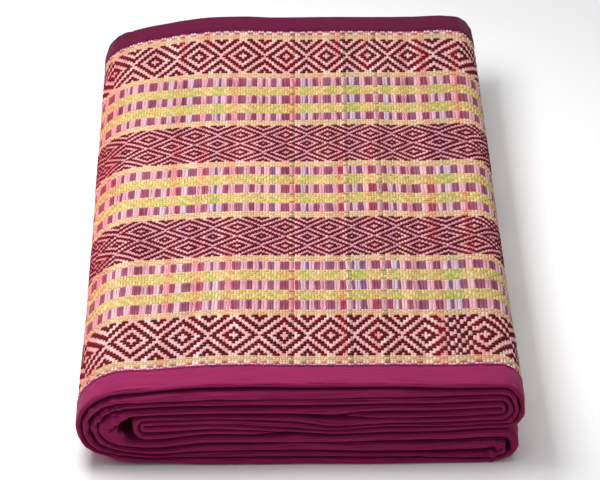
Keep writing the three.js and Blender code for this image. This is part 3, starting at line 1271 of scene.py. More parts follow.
class InstanceTree(Nodes):
    """A Geometry Nodes tree that sets a small mesh on each point, by the point's own size and turn."""

    def __init__(self) -> None:
        """Builds the tree with its named inputs."""
        super().__init__(bpy.data.node_groups.new("set_on_points", "GeometryNodeTree"))
        face = self.tree.interface
        self.keys: dict[str, str] = {}
        for name, kind in (
            ("Points", "Geometry"), ("Pattern", "Object"), ("Height", "Float"),
            ("Askew", "Float"), ("Seed", "Int"), ("Material", "Material"),
        ):
            socket = face.new_socket(name, in_out="INPUT", socket_type=f"NodeSocket{kind}")
            self.keys[name] = socket.identifier
        face.new_socket("Mesh", in_out="OUTPUT", socket_type="NodeSocketGeometry")
        given = self.add("NodeGroupInput", {}).outputs
        pattern = self.add("GeometryNodeObjectInfo", {"Object": given["Pattern"]})
        tall = self.add("ShaderNodeCombineXYZ", {"X": 1.0, "Y": 1.0, "Z": given["Height"]})
        sizes = {0: self.own("size"), 1: tall.outputs[0]}
        scale = self.add("ShaderNodeVectorMath", sizes, operation="MULTIPLY")
        negative = self.add("ShaderNodeMath", {0: given["Askew"], 1: -1.0}, operation="MULTIPLY")
        least = self.add("ShaderNodeCombineXYZ", {"Z": negative.outputs[0]})
        most = self.add("ShaderNodeCombineXYZ", {"Z": given["Askew"]})
        limits = {0: least.outputs[0], 1: most.outputs[0], "Seed": given["Seed"]}
        chance = self.add("FunctionNodeRandomValue", limits, data_type="FLOAT_VECTOR")
        turns = {"Rotation": self.own("turn"), "Rotate By": chance.outputs[0]}
        turned = self.add("FunctionNodeRotateRotation", turns, rotation_space="LOCAL")
        placed = self.add("GeometryNodeInstanceOnPoints", {
            "Points": given["Points"],
            "Instance": pattern.outputs["Geometry"],
            "Rotation": turned.outputs[0],
            "Scale": scale.outputs[0],
        })
        real = self.add("GeometryNodeRealizeInstances", {0: placed.outputs[0]})
        finish = {"Geometry": real.outputs[0], "Material": given["Material"]}
        painted = self.add("GeometryNodeSetMaterial", finish)
        self.add("NodeGroupOutput", {0: painted.outputs[0]})

    def own(self, name: str) -> bpy.types.NodeSocket:
        """The three values of an attribute that each point has of its own."""
        node = self.add("GeometryNodeInputNamedAttribute", {"Name": name}, data_type="FLOAT_VECTOR")
        return node.outputs["Attribute"]

    def build(self, name: str, points: np.ndarray, turn: np.ndarray, size: np.ndarray, tint: np.ndarray,
              **settings: object) -> bpy.types.Object:
        """Sets the pattern on every point and returns the result as a plain mesh.

        Args:
            name: The new piece's name.
            points: Where the copies go.
            turn: Their Euler angles.
            size: Their sizes along their own axes.
            tint: Their colours.
            **settings: The tree's other inputs by name. Pattern is the small mesh that is copied,
                Height a factor on the height of all copies, Askew the most that one is turned in
                its own plane, in radians, Seed fixes those turns, and Material is the finish.

        Returns:
            The finished piece.
        """
        carrier = new_object(name + "_points", points, [])
        for label, kind, key, values in (
            ("size", "FLOAT_VECTOR", "vector", size),
            ("turn", "FLOAT_VECTOR", "vector", turn),
            ("tint", "FLOAT_COLOR", "color", tint),
        ):
            attribute = carrier.data.attributes.new(label, kind, "POINT")
            attribute.data.foreach_set(key, np.asarray(values, np.float32).ravel())
        modifier = carrier.modifiers.new("set_on_points", "NODES")
        modifier.node_group = self.tree
        for key, value in settings.items():
            modifier[self.keys[key]] = value
        scene_now = bpy.context.evaluated_depsgraph_get()
        mesh = bpy.data.meshes.new_from_object(carrier.evaluated_get(scene_now))
        mesh.name = name
        piece = bpy.data.objects.new(name, mesh)
        bpy.context.scene.collection.objects.link(piece)
        bpy.data.objects.remove(carrier)
        return piece


def lie_flat(outward: np.ndarray) -> np.ndarray:
    """Rows of Euler angles that set small pieces flat on the sheet, by its outward directions."""
    angle = np.arctan2(outward[:, 0], outward[:, 1])
    return np.stack([np.zeros_like(angle), angle, np.zeros_like(angle)], axis=1)


@dataclass(frozen=True)
class Bead:
    """A unit float: a low rounded bead, flat underneath and drawn in at its ends."""

    arch: tuple[tuple[float, float], ...] = (
        (-0.5, 0.0), (-0.34, 0.72), (0.0, 1.0), (0.34, 0.72), (0.5, 0.0),
    )
    # How far from its middle the bead starts to draw in, its size there and the height of its tips.
    shoulder: float = 0.36
    drawn_in: float = 0.94
    tip_height: float = 0.12

    def build(self, name: str, along_y: bool) -> bpy.types.Object:
        """Makes the bead.

        Args:
            name: The object's name.
            along_y: True if its length is along Y, False for X.

        Returns:
            The bead's object.
        """
        points = [(-0.5, 0.0, self.tip_height)]
        for place in (-self.shoulder, self.shoulder):
            points += [(place, side * self.drawn_in, top * self.drawn_in) for side, top in self.arch]
        points.append((0.5, 0.0, self.tip_height))
        count, last = len(self.arch), len(points) - 1
        faces: list[tuple[int, ...]] = []
        for k in range(count):
            here, after = 1 + k, 1 + (k + 1) % count
            faces.append((0, after, here))
            faces.append((here, after, count + after, count + here))
            faces.append((last, count + here, count + after))
        if along_y:
            points = [(-side, place, top) for place, side, top in points]
        piece = new_object(name, np.array(points), faces)
        turn_outwards(piece)
        return piece


@dataclass(frozen=True)
class FloatSize:
    """The size of a float along the sheet, across it and up, against its place in the weave."""

    along: float
    across: float
    tall: float


@dataclass(frozen=True)
class FloatSizes:
    """The sizes of a band's floats."""

    yarn: FloatSize
    grass: FloatSize


EVEN_FLOATS = FloatSizes(FloatSize(1.0, 0.98, 1.0), FloatSize(0.97, 1.1, 1.0))
FLOAT_SIZES: dict[Kind, FloatSizes] = {
    Kind.CHECK: FloatSizes(FloatSize(0.95, 0.97, 0.75), FloatSize(0.95, 1.06, 1.0)),
    Kind.YELLOW: FloatSizes(FloatSize(1.1, 1.12, 0.8), FloatSize(1.04, 1.14, 0.8)),
    Kind.CREAM: EVEN_FLOATS,
    Kind.SELVEDGE: EVEN_FLOATS,
    Kind.DIAMOND: FloatSizes(FloatSize(1.2, 1.06, 1.15), FloatSize(0.92, 1.0, 0.95)),
    Kind.FINE_DIAMOND: FloatSizes(FloatSize(1.16, 1.1, 1.2), FloatSize(0.84, 0.92, 0.9)),
}


@dataclass(frozen=True)
class Miscount:
    """A place where the weaver lost the count and a band's lines break up into beads.

    It is on the top of the bundle, between two places across it, and narrower at the band's edges.
    """

    kind: Kind = Kind.DIAMOND
    half: int = -1
    x: tuple[float, float] = (96 * MM, 126 * MM)
    taper: float = 7 * MM
    above: float = 50 * MM
    # Over how many strands the beads keep in step.
    step: int = 3


@dataclass
class Floats:
    """The grass and yarn floats that stand up on the sheet's outer face."""

    line: SheetLine
    weave: Weave
    settling: Settling
    tree: InstanceTree
    bead: Bead = Bead()
    miscount: Miscount = Miscount()
    grass_finish: FloatFinish = FloatFinish("split_grass", 0.5, 0.4, (1400.0, 160.0, 1400.0))
    yarn_finish: FloatFinish = FloatFinish("jute_yarn", 0.9, 0.4, (420.0, 1500.0, 1500.0), 0.1)
    base: float = 0.9 * MM
    grass_height: float = 0.85 * MM
    yarn_height: float = 0.75 * MM
    # How far askew the floats lie at most, in radians.
    grass_askew: float = 0.04
    yarn_askew: float = 0.06
    askew_seed: int = 11
    # Where the binding's seam ends the floats.
    cover_from: float = 278.3 * MM
    # How much the floats of a check differ in width and in length, and those of a band in both of
    # these and in height.
    check_spread: tuple[float, float] = (0.06, 0.03)
    band_spread: tuple[float, float] = (0.03, 0.07)
    # Where the seeds of each kind of draw start. Each band and half adds its own number.
    check_seed: int = 100
    check_tint_seed: int = 300
    band_seed: int = 500
    band_tint_seed: int = 700
    grass: FloatTable = field(default_factory=FloatTable)
    yarn: FloatTable = field(default_factory=FloatTable)

    def lay_out(self) -> None:
        """Fills both tables, band by band, on both halves of the mat."""
        strands = np.concatenate([
            np.arange(*np.round(self.weave.strand_at(np.array(span), np.zeros(2))).astype(int))
            for span in self.line.outside()
        ])
        for number, band in enumerate(self.weave.bands):
            lay = self.lay_check if band.kind is Kind.CHECK else self.lay_yarns
            for half in ((1,) if band.inner < 0 else (-1, 1)):
                lay(band, half, strands, number)

    def lay_check(self, band: Band, half: int, strands: np.ndarray, number: int) -> None:
        """Lays a check stripe: on each strand one float as long as the stripe is wide.

        Args:
            band: The stripe.
            half: 1 or -1, for its half of the mat.
            strands: The strands that show.
            number: The stripe's number.
        """
        middle = half * (band.inner + band.outer) / 2 * MM
        length = (band.outer - band.inner) * MM
        u = self.weave.u_of(strands + 0.5, middle)
        y = middle + self.weave.strayed(u, middle)
        covered = self.weave.covered(strands, CHECK_SHAFT)
        draw = np.random.default_rng(self.check_seed + number * 2 + half)
        seed = self.check_tint_seed + number * 4 + half
        width_spread, length_spread = self.check_spread
        for yarn, usual in ((True, FLOAT_SIZES[band.kind].yarn), (False, FLOAT_SIZES[band.kind].grass)):
            chosen = covered == yarn
            count = int(chosen.sum())
            size = np.stack([
                self.weave.strand_pitch * usual.along * draw.normal(1, width_spread, count),
                length * draw.normal(usual.across, length_spread, count),
                np.full(count, usual.tall),
            ], axis=1)
            tint = self.weave.tint(band.kind, strands[chosen], y[chosen], yarn, seed)
            self.grass.add(u[chosen], y[chosen], size, tint)

    def lay_yarns(self, band: Band, half: int, strands: np.ndarray, number: int) -> None:
        """Lays a band of yarns, each with its own shaft, and the grass that shows between them.

        Args:
            band: The band.
            half: 1 or -1, for its half of the mat.
            strands: The strands that show.
            number: The band's number.
        """
        places, pitch = band.yarn_places(), band.pitch() * MM
        over = np.array([self.weave.covered(strands, int(shaft)) for shaft in band.threading()])
        if band.kind is self.miscount.kind and half == self.miscount.half:
            over = self.break_up(over, strands, places * half)
        yarn_rows, grass_rows = [], []
        for row, place in enumerate(places):
            for start, stop in self.stretches(over[row], strands):
                yarn_rows.append((strands[start], strands[stop] + 1, half * place, pitch))
        for column, strand in enumerate(strands):
            for start, stop in self.stretches(~over[:, column], np.arange(len(places))):
                low, high = places[start] - pitch / 2, places[stop] + pitch / 2
                grass_rows.append((strand, strand + 1, half * (low + high) / 2, high - low))
        sizes = FLOAT_SIZES[band.kind]
        draw = np.random.default_rng(self.band_seed + number * 2 + half)
        seed = self.band_tint_seed + number * 4 + half
        length_spread, height_spread = self.band_spread
        for rows, usual, table in ((yarn_rows, sizes.yarn, self.yarn), (grass_rows, sizes.grass, self.grass)):
            first, last, y, length = np.array(rows).T
            u_first, u_last = self.weave.u_of(first, y), self.weave.u_of(last, y)
            u, count = (u_first + u_last) / 2, len(rows)
            size = np.stack([
                (u_last - u_first) * usual.along * draw.normal(1, length_spread, count),
                length * usual.across * draw.normal(1, length_spread, count),
                usual.tall * draw.normal(1, height_spread, count),
            ], axis=1)
            tint = self.weave.tint(band.kind, first.astype(int), y, table is self.yarn, seed)
            table.add(u, y + self.weave.strayed(u, y), size, tint)

    @staticmethod
    def stretches(over: np.ndarray, numbers: np.ndarray) -> list[tuple[int, int]]:
        """Finds the unbroken stretches of True.

        Args:
            over: A row of True and False.
            numbers: The number of each place in it. A stretch ends where one is left out.

        Returns:
            The first and the last place of each stretch.
        """
        found: list[tuple[int, int]] = []
        start: Optional[int] = None
        for k, is_over in enumerate(over):
            follows = k > 0 and numbers[k] == numbers[k - 1] + 1
            if start is not None and (not is_over or not follows):
                found.append((start, k - 1))
                start = None
            if is_over and start is None:
                start = k
        if start is not None:
            found.append((start, len(over) - 1))
        return found

    def break_up(self, over: np.ndarray, strands: np.ndarray, y: np.ndarray) -> np.ndarray:
        """Breaks a band's lines into beads in one place.

        Args:
            over: Which yarns lie over which strands.
            strands: The strands' numbers.
            y: The yarns' places across the mat.

        Returns:
            The changed table of yarns over strands.
        """
        left, right = self.miscount.x
        x, z = self.line.place(self.weave.u_of(strands + 0.5, float(y.mean()))).T
        away = (np.abs(y - y.mean()) / np.ptp(y) * 2 * self.miscount.taper)[:, None]
        inside = (x > left + away) & (x < right - away) & (z > self.miscount.above)
        row = (np.arange(len(y))[:, None] + strands // self.miscount.step) // 2
        return np.where(inside, (strands + row) % 2 == 1, over)

    def build(self) -> list[bpy.types.Object]:
        """Makes the two layers of floats, each in a front and a back half.

        Returns:
            The four pieces.
        """
        self.lay_out()
        grass = {"Pattern": self.bead.build("grass_bead", True), "Height": self.grass_height,
                 "Askew": self.grass_askew, "Material": self.grass_finish.material()}
        yarn = {"Pattern": self.bead.build("yarn_bead", False), "Height": self.yarn_height,
                "Askew": self.yarn_askew, "Material": self.yarn_finish.material()}
        pieces = []
        for side, half in (("front", -1), ("back", 1)):
            pieces.append(self.make(f"grass_floats_{side}", self.grass, half, grass))
            pieces.append(self.make(f"yarn_floats_{side}", self.yarn, half, yarn))
        for settings in (grass, yarn):
            bpy.data.objects.remove(settings["Pattern"])
        return pieces

    def make(self, name: str, table: FloatTable, half: int, settings: dict[str, object]) -> bpy.types.Object:
        """Sets one table of floats on one half of the sheet, none of them past the seam.

        Args:
            name: The piece's name.
            table: The floats.
            half: 1 or -1, for the half of the mat.
            settings: The tree's inputs for this kind of float.

        Returns:
            The finished piece.
        """
        u, y, size, tint = table.joined()
        inside = (np.abs(y) < self.cover_from) & ((y >= 0) == (half > 0))
        u, y, size, tint = u[inside], y[inside], size[inside], tint[inside]
        past = np.clip(np.abs(y) + size[:, 1] / 2 - self.cover_from, 0, None)
        size[:, 1] -= past
        y = y - np.sign(y) * past / 2
        points = self.settling.apply(self.line.lift(u, y, self.base))
        turn = lie_flat(self.line.outward(u))
        return self.tree.build(name, points, turn, size, tint, Seed=self.askew_seed, **settings)


@dataclass(frozen=True)
class Crease:
    """A soft fold that runs along a binding, at a distance round from the middle of its edge.

    Its sizes are in millimetres. Its line wanders round by so much, and its depth changes.
    """

    around: float
    depth: float
    width: float
    wander: float
    seed: int


@dataclass(frozen=True)
class Buckle:
    """A bulge of slack cloth inside a turn, at a share of the way round it, in millimetres."""

    turn: str
    share: float
    width: float
    height: float


@dataclass
class EdgeBinding:
    """The cloth that wraps one long edge of the mat, folded with it.

    The side is -1 for the front edge and 1 for the back one. Insets count from the mat's edge.
    """

    line: SheetLine
    settling: Settling
    side: int
    finish: ClothFinish
    seam_height: float = 2.0 * MM
    # The half thickness of the cloth's edge where it lies open, and the most where it is stuffed.
    padding: float = 2.35 * MM
    stuffed: float = 5.6 * MM
    # How much thicker than the open edge the rest may get where the pile is loose.
    loose: float = 1.15
    # Where across the bundle the edge is stuffed, and how slowly that starts and stops.
    stuffed_x: tuple[float, float] = (-44 * MM, 140 * MM)
    stuffed_fade: float = 14 * MM
    # Below this height the cloth is stuffed right into the turns on the +X side.
    packed_below: float = 28 * MM
    packed_x: float = 158 * MM
    # The weights that even out the thickness from row to row.
    evening: tuple[float, ...] = (1, 2, 3, 2, 1)
    # Inset and height over the sheet's middle line, from the seam inwards, in millimetres.
    hem: tuple[tuple[float, float], ...] = (
        (27.0, 1.10), (27.3, 1.60), (27.0, 2.05), (26.3, 2.15), (25.7, 1.90), (25.3, 1.35), (24.9, 1.25),
        (24.5, 1.50), (23.9, 1.95), (22.6, 2.05), (20.0, 2.02), (17.0, 2.02), (14.0, 2.02), (11.5, 2.02),
    )
    # The least share of the hem's height that is left where the pile presses on it.
    hem_least: float = 0.75
    # The rounded edge: its length and, in a closed gap, the share of it that shows.
    nose: float = 7.0
    nose_closed: float = 0.45
    nose_steps: int = 16
    nose_power: float = 2.5
    # The insets, in millimetres, between which the cloth goes from its full thickness to the hem's,
    # and between which an open gap stops pulling at it.
    full_inset: tuple[float, float] = (9.0, 24.0)
    pinned_inset: tuple[float, float] = (7.0, 16.0)
    # How much of the thickness an open gap takes away, and the waves of the swell.
    opening: float = 0.26
    swell_share: float = 0.05
    # The lining inside the wrap: half its thickness, what the cloth over it has at least, its inset
    # in millimetres and its height against the half thickness.
    lining: float = 1.06 * MM
    over_lining: float = 0.35 * MM
    lining_line: tuple[tuple[float, float], ...] = (
        (26.8, -0.5), (26.8, -1.0), (0.8, -1.0), (0.8, 1.0), (26.8, 1.0), (26.8, 0.5),
    )
    run_row: float = 3.2 * MM
    turn_row: float = 1.0 * MM
    creases: tuple[Crease, ...] = (
        Crease(1.3, 0.95, 0.60, 1.2, 71),
        Crease(-1.4, 0.85, 0.55, 1.1, 72),
        Crease(4.6, 0.60, 0.8, 1.8, 73),
        Crease(-4.4, 0.50, 0.8, 1.8, 74),
        Crease(9.0, 0.35, 1.1, 2.6, 75),
        Crease(15.0, 0.25, 1.4, 3.0, 76),
    )
    # The usual share of a crease's depth, what its waves add, and the most.
    crease_depth: tuple[float, float, float] = (0.45, 1.1, 1.2)
    # How deep the puckers along the seam are, and the insets where they start and stop.
    puckers: float = 0.16 * MM
    pucker_start: tuple[float, float] = (26 * MM, 27.5 * MM)
    pucker_stop: tuple[float, float] = (13 * MM, 24 * MM)
    # How deep the crinkles in the turns are, how much slower they change round the edge than along
    # it, the insets where they stop, and how far before and after a turn they start.
    crinkles: float = 0.5 * MM
    crinkle_stretch: float = 0.3
    crinkle_stop: tuple[float, float] = (16 * MM, 24 * MM)
    turn_fade: tuple[float, float] = (4 * MM, 6 * MM)
    # How much more than elsewhere the cloth crinkles in some of the turns.
    crumpled: dict[str, float] = field(default_factory=lambda: {
        "left_outer": 0.5, "left_second": 1.5, "left_third": 1.8, "left_inner": 1.5, "right_outer": 0.6,
        "right_second": 1.8, "right_third": 2.2, "right_inner": 2.0, "last_inner": 3.0,
    })
    buckles: tuple[Buckle, ...] = (
        Buckle("left_inner", 0.5, 14.0, 5.2),
        Buckle("left_inner", 0.3, 2.4, 0.9),
        Buckle("left_inner", 0.44, 2.4, 0.8),
        Buckle("left_inner", 0.6, 2.4, 0.9),
        Buckle("left_inner", 0.8, 6.5, 3.4),
        Buckle("left_inner", 0.2, 6.5, 4.6),
        Buckle("left_inner", 0.3, 2.0, 0.8),
    )
    buckle_stop: tuple[float, float] = (5 * MM, 12 * MM)
    # The insets between which the cloth stops lying forward or back with its edge.
    back_stop: tuple[float, float] = (8 * MM, 22 * MM)
    swell: Ripple = field(init=False)
    pucker: Ripple = field(init=False)
    crinkle: Ripple = field(init=False)

    def __post_init__(self) -> None:
        """Draws the waves of the cloth, which differ from one side to the other."""
        self.swell = Ripple(seed=41 + self.side, waves=6, lengths=(0.014, 0.07), axes=1)
        self.pucker = Ripple(seed=61 + self.side, waves=6, lengths=(0.0045, 0.012), axes=1)
        self.crinkle = Ripple(seed=81 + self.side, waves=7, lengths=(0.004, 0.009), axes=2)

    def row(self, name: str) -> float:
        """The spacing of the rows on a run or turn, by its name."""
        return self.run_row if name.startswith("run") else self.turn_row

    def room(self, u: np.ndarray, face: int) -> tuple[np.ndarray, np.ndarray]:
        """The half thickness that the cloth's edge takes up on one face, and how open that face is.

        Args:
            u: Distances along the sheet.
            face: 1 for the outer face, -1 for the inner.

        Returns:
            Half thicknesses, and openings from 0 to 1.
        """
        free = 4 * self.stuffed
        half = self.line.room(u, face, free)
        x, z = self.line.place(u).T
        low, high = self.stuffed_x
        high = np.where(z < self.packed_below, self.packed_x, high)
        inside = smooth_share(x, low, low + self.stuffed_fade) * smooth_fall(x - high, -self.stuffed_fade, 0)
        most = self.padding * self.loose
        most = most + (self.stuffed - most) * inside
        taken = np.where(half < free, np.minimum(half, most), self.padding)
        gap = (self.line.place(u) + self.line.outward(u) * (face * taken)[:, None]) / MM
        edge = self.settling.edge
        layer = self.settling.fold.layer_at(gap[:, 0], gap[:, 1])
        openness = edge.read(edge.gap_openings, edge.first_gap, layer, gap[:, 0])
        reach = len(self.evening) // 2
        least = np.min([np.roll(taken, shift) for shift in range(-reach, reach + 1)], axis=0)
        weights = np.array(self.evening) / sum(self.evening)
        return np.convolve(np.pad(least, reach, mode="edge"), weights, mode="valid"), openness

    def set_back(self, u: np.ndarray) -> np.ndarray:
        """How far the cloth's edge lies back, passing evenly from layer to layer in a turn.

        Args:
            u: The rows' distances along the sheet.

        Returns:
            Set-backs at the rows, in metres.
        """
        edge = self.settling.edge
        place = self.line.place(u) / MM
        on_run = np.zeros(len(u), bool)
        for name, (low, high) in self.line.spans.items():
            if name.startswith("run"):
                on_run |= (u >= low) & (u <= high)
        layer = self.settling.fold.layer_at(place[:, 0], place[:, 1])
        back = edge.read(edge.set_backs, edge.first_layer, layer, place[:, 0]) - edge.forward
        back = np.interp(u, u[on_run], back[on_run])
        thinned = (1 - self.line.fullness(u)) / (1 - self.line.cut_share)
        return (back + edge.end_back * thinned) * MM

    def outline(self, u: np.ndarray) -> tuple[np.ndarray, np.ndarray]:
        """The wrap's outer line at each row, from the outer seam round the edge to the inner one.

        Args:
            u: The rows' distances along the sheet.

        Returns:
            Insets from the edge and heights over the middle line, rows by points.
        """
        inset, hem = np.array(self.hem).T
        turned = (np.arange(self.nose_steps) + 0.5) / self.nose_steps
        inset = np.concatenate([inset, self.nose * (1 - np.sin(turned * math.pi / 2))])
        hem = np.concatenate([hem, np.full(self.nose_steps, hem[-1])])
        fullness = smooth_fall(inset, *self.full_inset)
        pinned = smooth_share(inset, *self.pinned_inset)
        nose = np.clip(1 - inset / self.nose, 0, 1)
        share = (1 - nose ** self.nose_power) ** (1 / self.nose_power)
        insets, heights = [], []
        for face in (1, -1):
            room, openness = self.room(u, face)
            room = room * (1 - self.swell_share * np.abs(self.swell.at(u + face)))
            room = np.maximum(room * (1 - self.opening * openness), self.lining + self.over_lining)
            shown = self.nose_closed + (1 - self.nose_closed) * np.clip(openness, 0, 1)
            seam = np.maximum(np.minimum(1.0, room / self.seam_height), self.hem_least)
            low = hem * MM * seam[:, None]
            full = face * share * (low + (room[:, None] - low) * fullness)
            drawn = np.where(inset < self.nose, inset * shown[:, None], inset)
            drawn = drawn + (inset - drawn) * pinned
            insets.append(drawn[:, ::face])
            heights.append(full[:, ::face])
        return np.concatenate(insets, axis=1) * MM, np.concatenate(heights, axis=1)

    def fold_in(self, u: np.ndarray, inset: np.ndarray, height: np.ndarray) -> tuple[np.ndarray, np.ndarray]:
        """Presses the creases, puckers, crinkles and buckles into the wrap's outer line.

        Args:
            u: The rows' distances along the sheet.
            inset: Insets from the edge, rows by points.
            height: Heights over the middle line, rows by points.

        Returns:
            The new insets and heights.
        """
        step = np.hypot(np.diff(inset, axis=1), np.diff(height, axis=1))
        middle = inset.shape[1] // 2
        around = np.concatenate([np.zeros((len(u), 1)), np.cumsum(step, axis=1)], axis=1)
        around = (around[:, middle - 1:middle] + around[:, middle:middle + 1]) / 2 - around
        push = -self.pressed(u, around)
        near_seam = smooth_share(inset, *self.pucker_stop) * smooth_fall(inset, *self.pucker_start)
        push += self.puckers * self.pucker.at(u)[:, None] * near_seam
        wrinkle = self.crinkle.at(np.broadcast_to(u[:, None], inset.shape), around * self.crinkle_stretch)
        free_end = smooth_fall(inset, *self.crinkle_stop)
        push += self.crinkles * self.bend(u)[:, None] * wrinkle * free_end
        slope_in, slope_up = np.gradient(inset, axis=1), np.gradient(height, axis=1)
        size = np.hypot(slope_in, slope_up) + 1e-9
        inset, height = inset + slope_up / size * push, height - slope_in / size * push
        lip = smooth_fall(inset, *self.buckle_stop)
        for buckle in self.buckles:
            low, high = self.line.spans[buckle.turn]
            away = (u - low - (high - low) * buckle.share) / (buckle.width * MM)
            bulge = (buckle.height * MM * np.exp(-away ** 2))[:, None] * lip
            height = height + bulge * np.clip(height / self.padding, 0, 1)
        return inset + self.set_back(u)[:, None] * smooth_fall(inset, *self.back_stop), height

    def pressed(self, u: np.ndarray, around: np.ndarray) -> np.ndarray:
        """How deep the creases are.

        Args:
            u: The rows' distances along the sheet.
            around: The points' distances round from the middle of the edge.

        Returns:
            Depths in metres, rows by points.
        """
        usual, wave, most = self.crease_depth
        total = np.zeros_like(around)
        for crease in self.creases:
            run = Ripple(seed=crease.seed * 2 + self.side, waves=5, lengths=(0.03, 0.22), axes=1)
            depth = Ripple(seed=crease.seed * 3 + self.side, waves=5, lengths=(0.02, 0.12), axes=1)
            centre = (crease.around + crease.wander * run.at(u)) * MM
            pressed = crease.depth * MM * np.clip(usual + wave * depth.at(u), 0, most)
            away = (around - centre[:, None]) / (crease.width * MM)
            total += pressed[:, None] * np.exp(-away ** 2)
        return total

    def bend(self, u: np.ndarray) -> np.ndarray:
        """How much the cloth crinkles at each row, because it lies in a turn.

        Args:
            u: The rows' distances along the sheet.

        Returns:
            0 on the runs, and about 1 in a turn that isn't crumpled.
        """
        outside, inside = self.turn_fade
        total = np.zeros(len(u))
        for name, (low, high) in self.line.spans.items():
            if not name.startswith("run"):
                before = smooth_share(u, low - outside, low + inside)
                after = smooth_fall(u, high - inside, high + outside)
                total += self.crumpled.get(name, 1.0) * before * after
        return total

    def build(self, name: str) -> bpy.types.Object:
        """Makes the wrap as one closed mesh.

        Args:
            name: The piece's name.

        Returns:
            The binding, with its UV map in millimetres of cloth.
        """
        u = self.line.stations(self.row)
        inset, height = self.fold_in(u, *self.outline(u))
        lining, level = np.array(self.lining_line).T
        inner = lining * MM + self.set_back(u)[:, None] * (lining < self.nose)
        lined = np.broadcast_to(level * self.lining, inner.shape)
        inset, height = np.concatenate([inset, inner], axis=1), np.concatenate([height, lined], axis=1)
        y = self.side * (self.settling.half_length - inset)
        points = self.settling.apply(self.line.lift(u[:, None], y, height))
        points[..., 2] = np.maximum(points[..., 2], 0)
        piece = new_object(name, points, loop_faces(len(u), inset.shape[1]))
        step = np.hypot(np.diff(inset, axis=1), np.diff(height, axis=1)).mean(axis=0)
        around = np.concatenate([[0.0], np.cumsum(step)])
        write_uv(piece, "cloth", np.stack(np.broadcast_arrays(u[:, None], around[None, :]), axis=-1) / MM)
        turn_outwards(piece)
        return piece

    def dress(self, piece: bpy.types.Object) -> None:
        """Gives the binding its material."""
        piece.data.materials.append(self.finish.material())


@dataclass
class Stitches:
    """The thread that sews one binding down, in a line just inside its hem.

    The side is -1 for the front edge and 1 for the back one.
    """

    line: SheetLine
    settling: Settling
    tree: InstanceTree
    side: int
    bead: Bead = Bead()
    pitch: float = 3.3 * MM
    size: Place = (2.9 * MM, 0.75 * MM, 0.5 * MM)
    # How much the stitches differ in size, how far they stray across, and how far askew they lie.
    size_spread: float = 0.06
    stray: float = 0.08 * MM
    askew: float = 0.08
    askew_seed: int = 12
    inset: float = 25.15 * MM
    height: float = 1.3 * MM
    colours: tuple[Colour, ...] = (srgb(64, 20, 66), srgb(88, 24, 84), srgb(60, 16, 44))
    seed: int = 90

    def build(self, name: str, material: bpy.types.Material) -> bpy.types.Object:
        """Makes the row of stitches where the hem shows.

        Args:
            name: The piece's name.
            material: The thread's finish.

        Returns:
            The stitches as one mesh.
        """
        u = np.concatenate([np.arange(low, high, self.pitch) for low, high in self.line.outside()])
        draw = np.random.default_rng(self.seed + self.side)
        y = self.side * (self.settling.half_length - self.inset + draw.normal(0, self.stray, len(u)))
        points = self.settling.apply(self.line.lift(u, y, np.full(len(u), self.height)))
        size = np.array(self.size) * draw.normal(1, self.size_spread, (len(u), 3))
        colour = np.array(self.colours)[draw.integers(0, len(self.colours), len(u))]
        tint = np.concatenate([colour, np.ones((len(u), 1))], axis=1)
        pattern = self.bead.build("stitch", False)
        piece = self.tree.build(
            name, points, lie_flat(self.line.outward(u)), size, tint,
            Pattern=pattern, Height=1.0, Askew=self.askew, Seed=self.askew_seed, Material=material)
        bpy.data.objects.remove(pattern)
        return piece


@dataclass(frozen=True)
class FloorFinish:
    """The pale floor's paint, a little cloudy."""

    name: str = "pale_floor"
    shadow: Colour = srgb(247, 247, 248)
    colour: Colour = srgb(252, 252, 252)
    cloud_scale: float = 3.0
    roughness: float = 0.9

    def material(self) -> bpy.types.Material:
        """Makes the material.

        Returns:
            The material, which reads Object coordinates.
        """
        shader = Shader(self.name)
        cloudy = shader.noise(shader.place(), self.cloud_scale, 2.0)
        shader.finish(Base_Color=shader.mix(cloudy, self.shadow, self.colour), Roughness=self.roughness)
        return shader.material


@dataclass(frozen=True)
class Lamp:
    """A soft light: where it stands, what it looks at, the sides of its face and its power in watts."""

    name: str
    place: Place
    aim: Place
    size: tuple[float, float]
    power: float

    def build(self) -> None:
        """Adds the light to the scene."""
        data = bpy.data.lights.new(self.name, "AREA")
        data.shape = "RECTANGLE"
        data.size, data.size_y = self.size
        data.energy = self.power
        lamp = bpy.data.objects.new(self.name, data)
        lamp.location = self.place
        lamp.rotation_euler = (Vector(self.aim) - Vector(self.place)).to_track_quat("-Z", "Y").to_euler()
        bpy.context.scene.collection.objects.link(lamp)


@dataclass(frozen=True)
class PhotoCamera:
    """The camera at the photograph's place and angle, with its focal length in the photo's pixels."""

    photo_width: int = 600
    lens_px: float = 3598.5
    sensor_width: float = 36.0
    clip_end: float = 60.0
    yaw: float = math.radians(0.762)
    pitch: float = math.radians(27.46)
    roll: float = math.radians(-0.264)
    stand: Place = (-0.0280, -2.4225, 1.2732)

    def build(self) -> None:
        """Adds the camera and makes it the scene's own."""
        data = bpy.data.cameras.new("camera")
        data.sensor_width = self.sensor_width
        data.lens = self.lens_px / self.photo_width * self.sensor_width
        data.clip_end = self.clip_end
        level = Vector((math.cos(self.yaw), -math.sin(self.yaw), 0))
        ahead = Vector((-level.y, level.x, 0)) * math.cos(self.pitch)
        ahead.z = -math.sin(self.pitch)
        upright = level.cross(ahead)
        right = level * math.cos(self.roll) + upright * math.sin(self.roll)
        up = upright * math.cos(self.roll) - level * math.sin(self.roll)
        axes = Matrix((right, up, -ahead)).transposed().to_4x4()
        camera = bpy.data.objects.new("camera", data)
        camera.matrix_world = Matrix.Translation(self.stand) @ axes
        bpy.context.scene.collection.objects.link(camera)
        bpy.context.scene.camera = camera


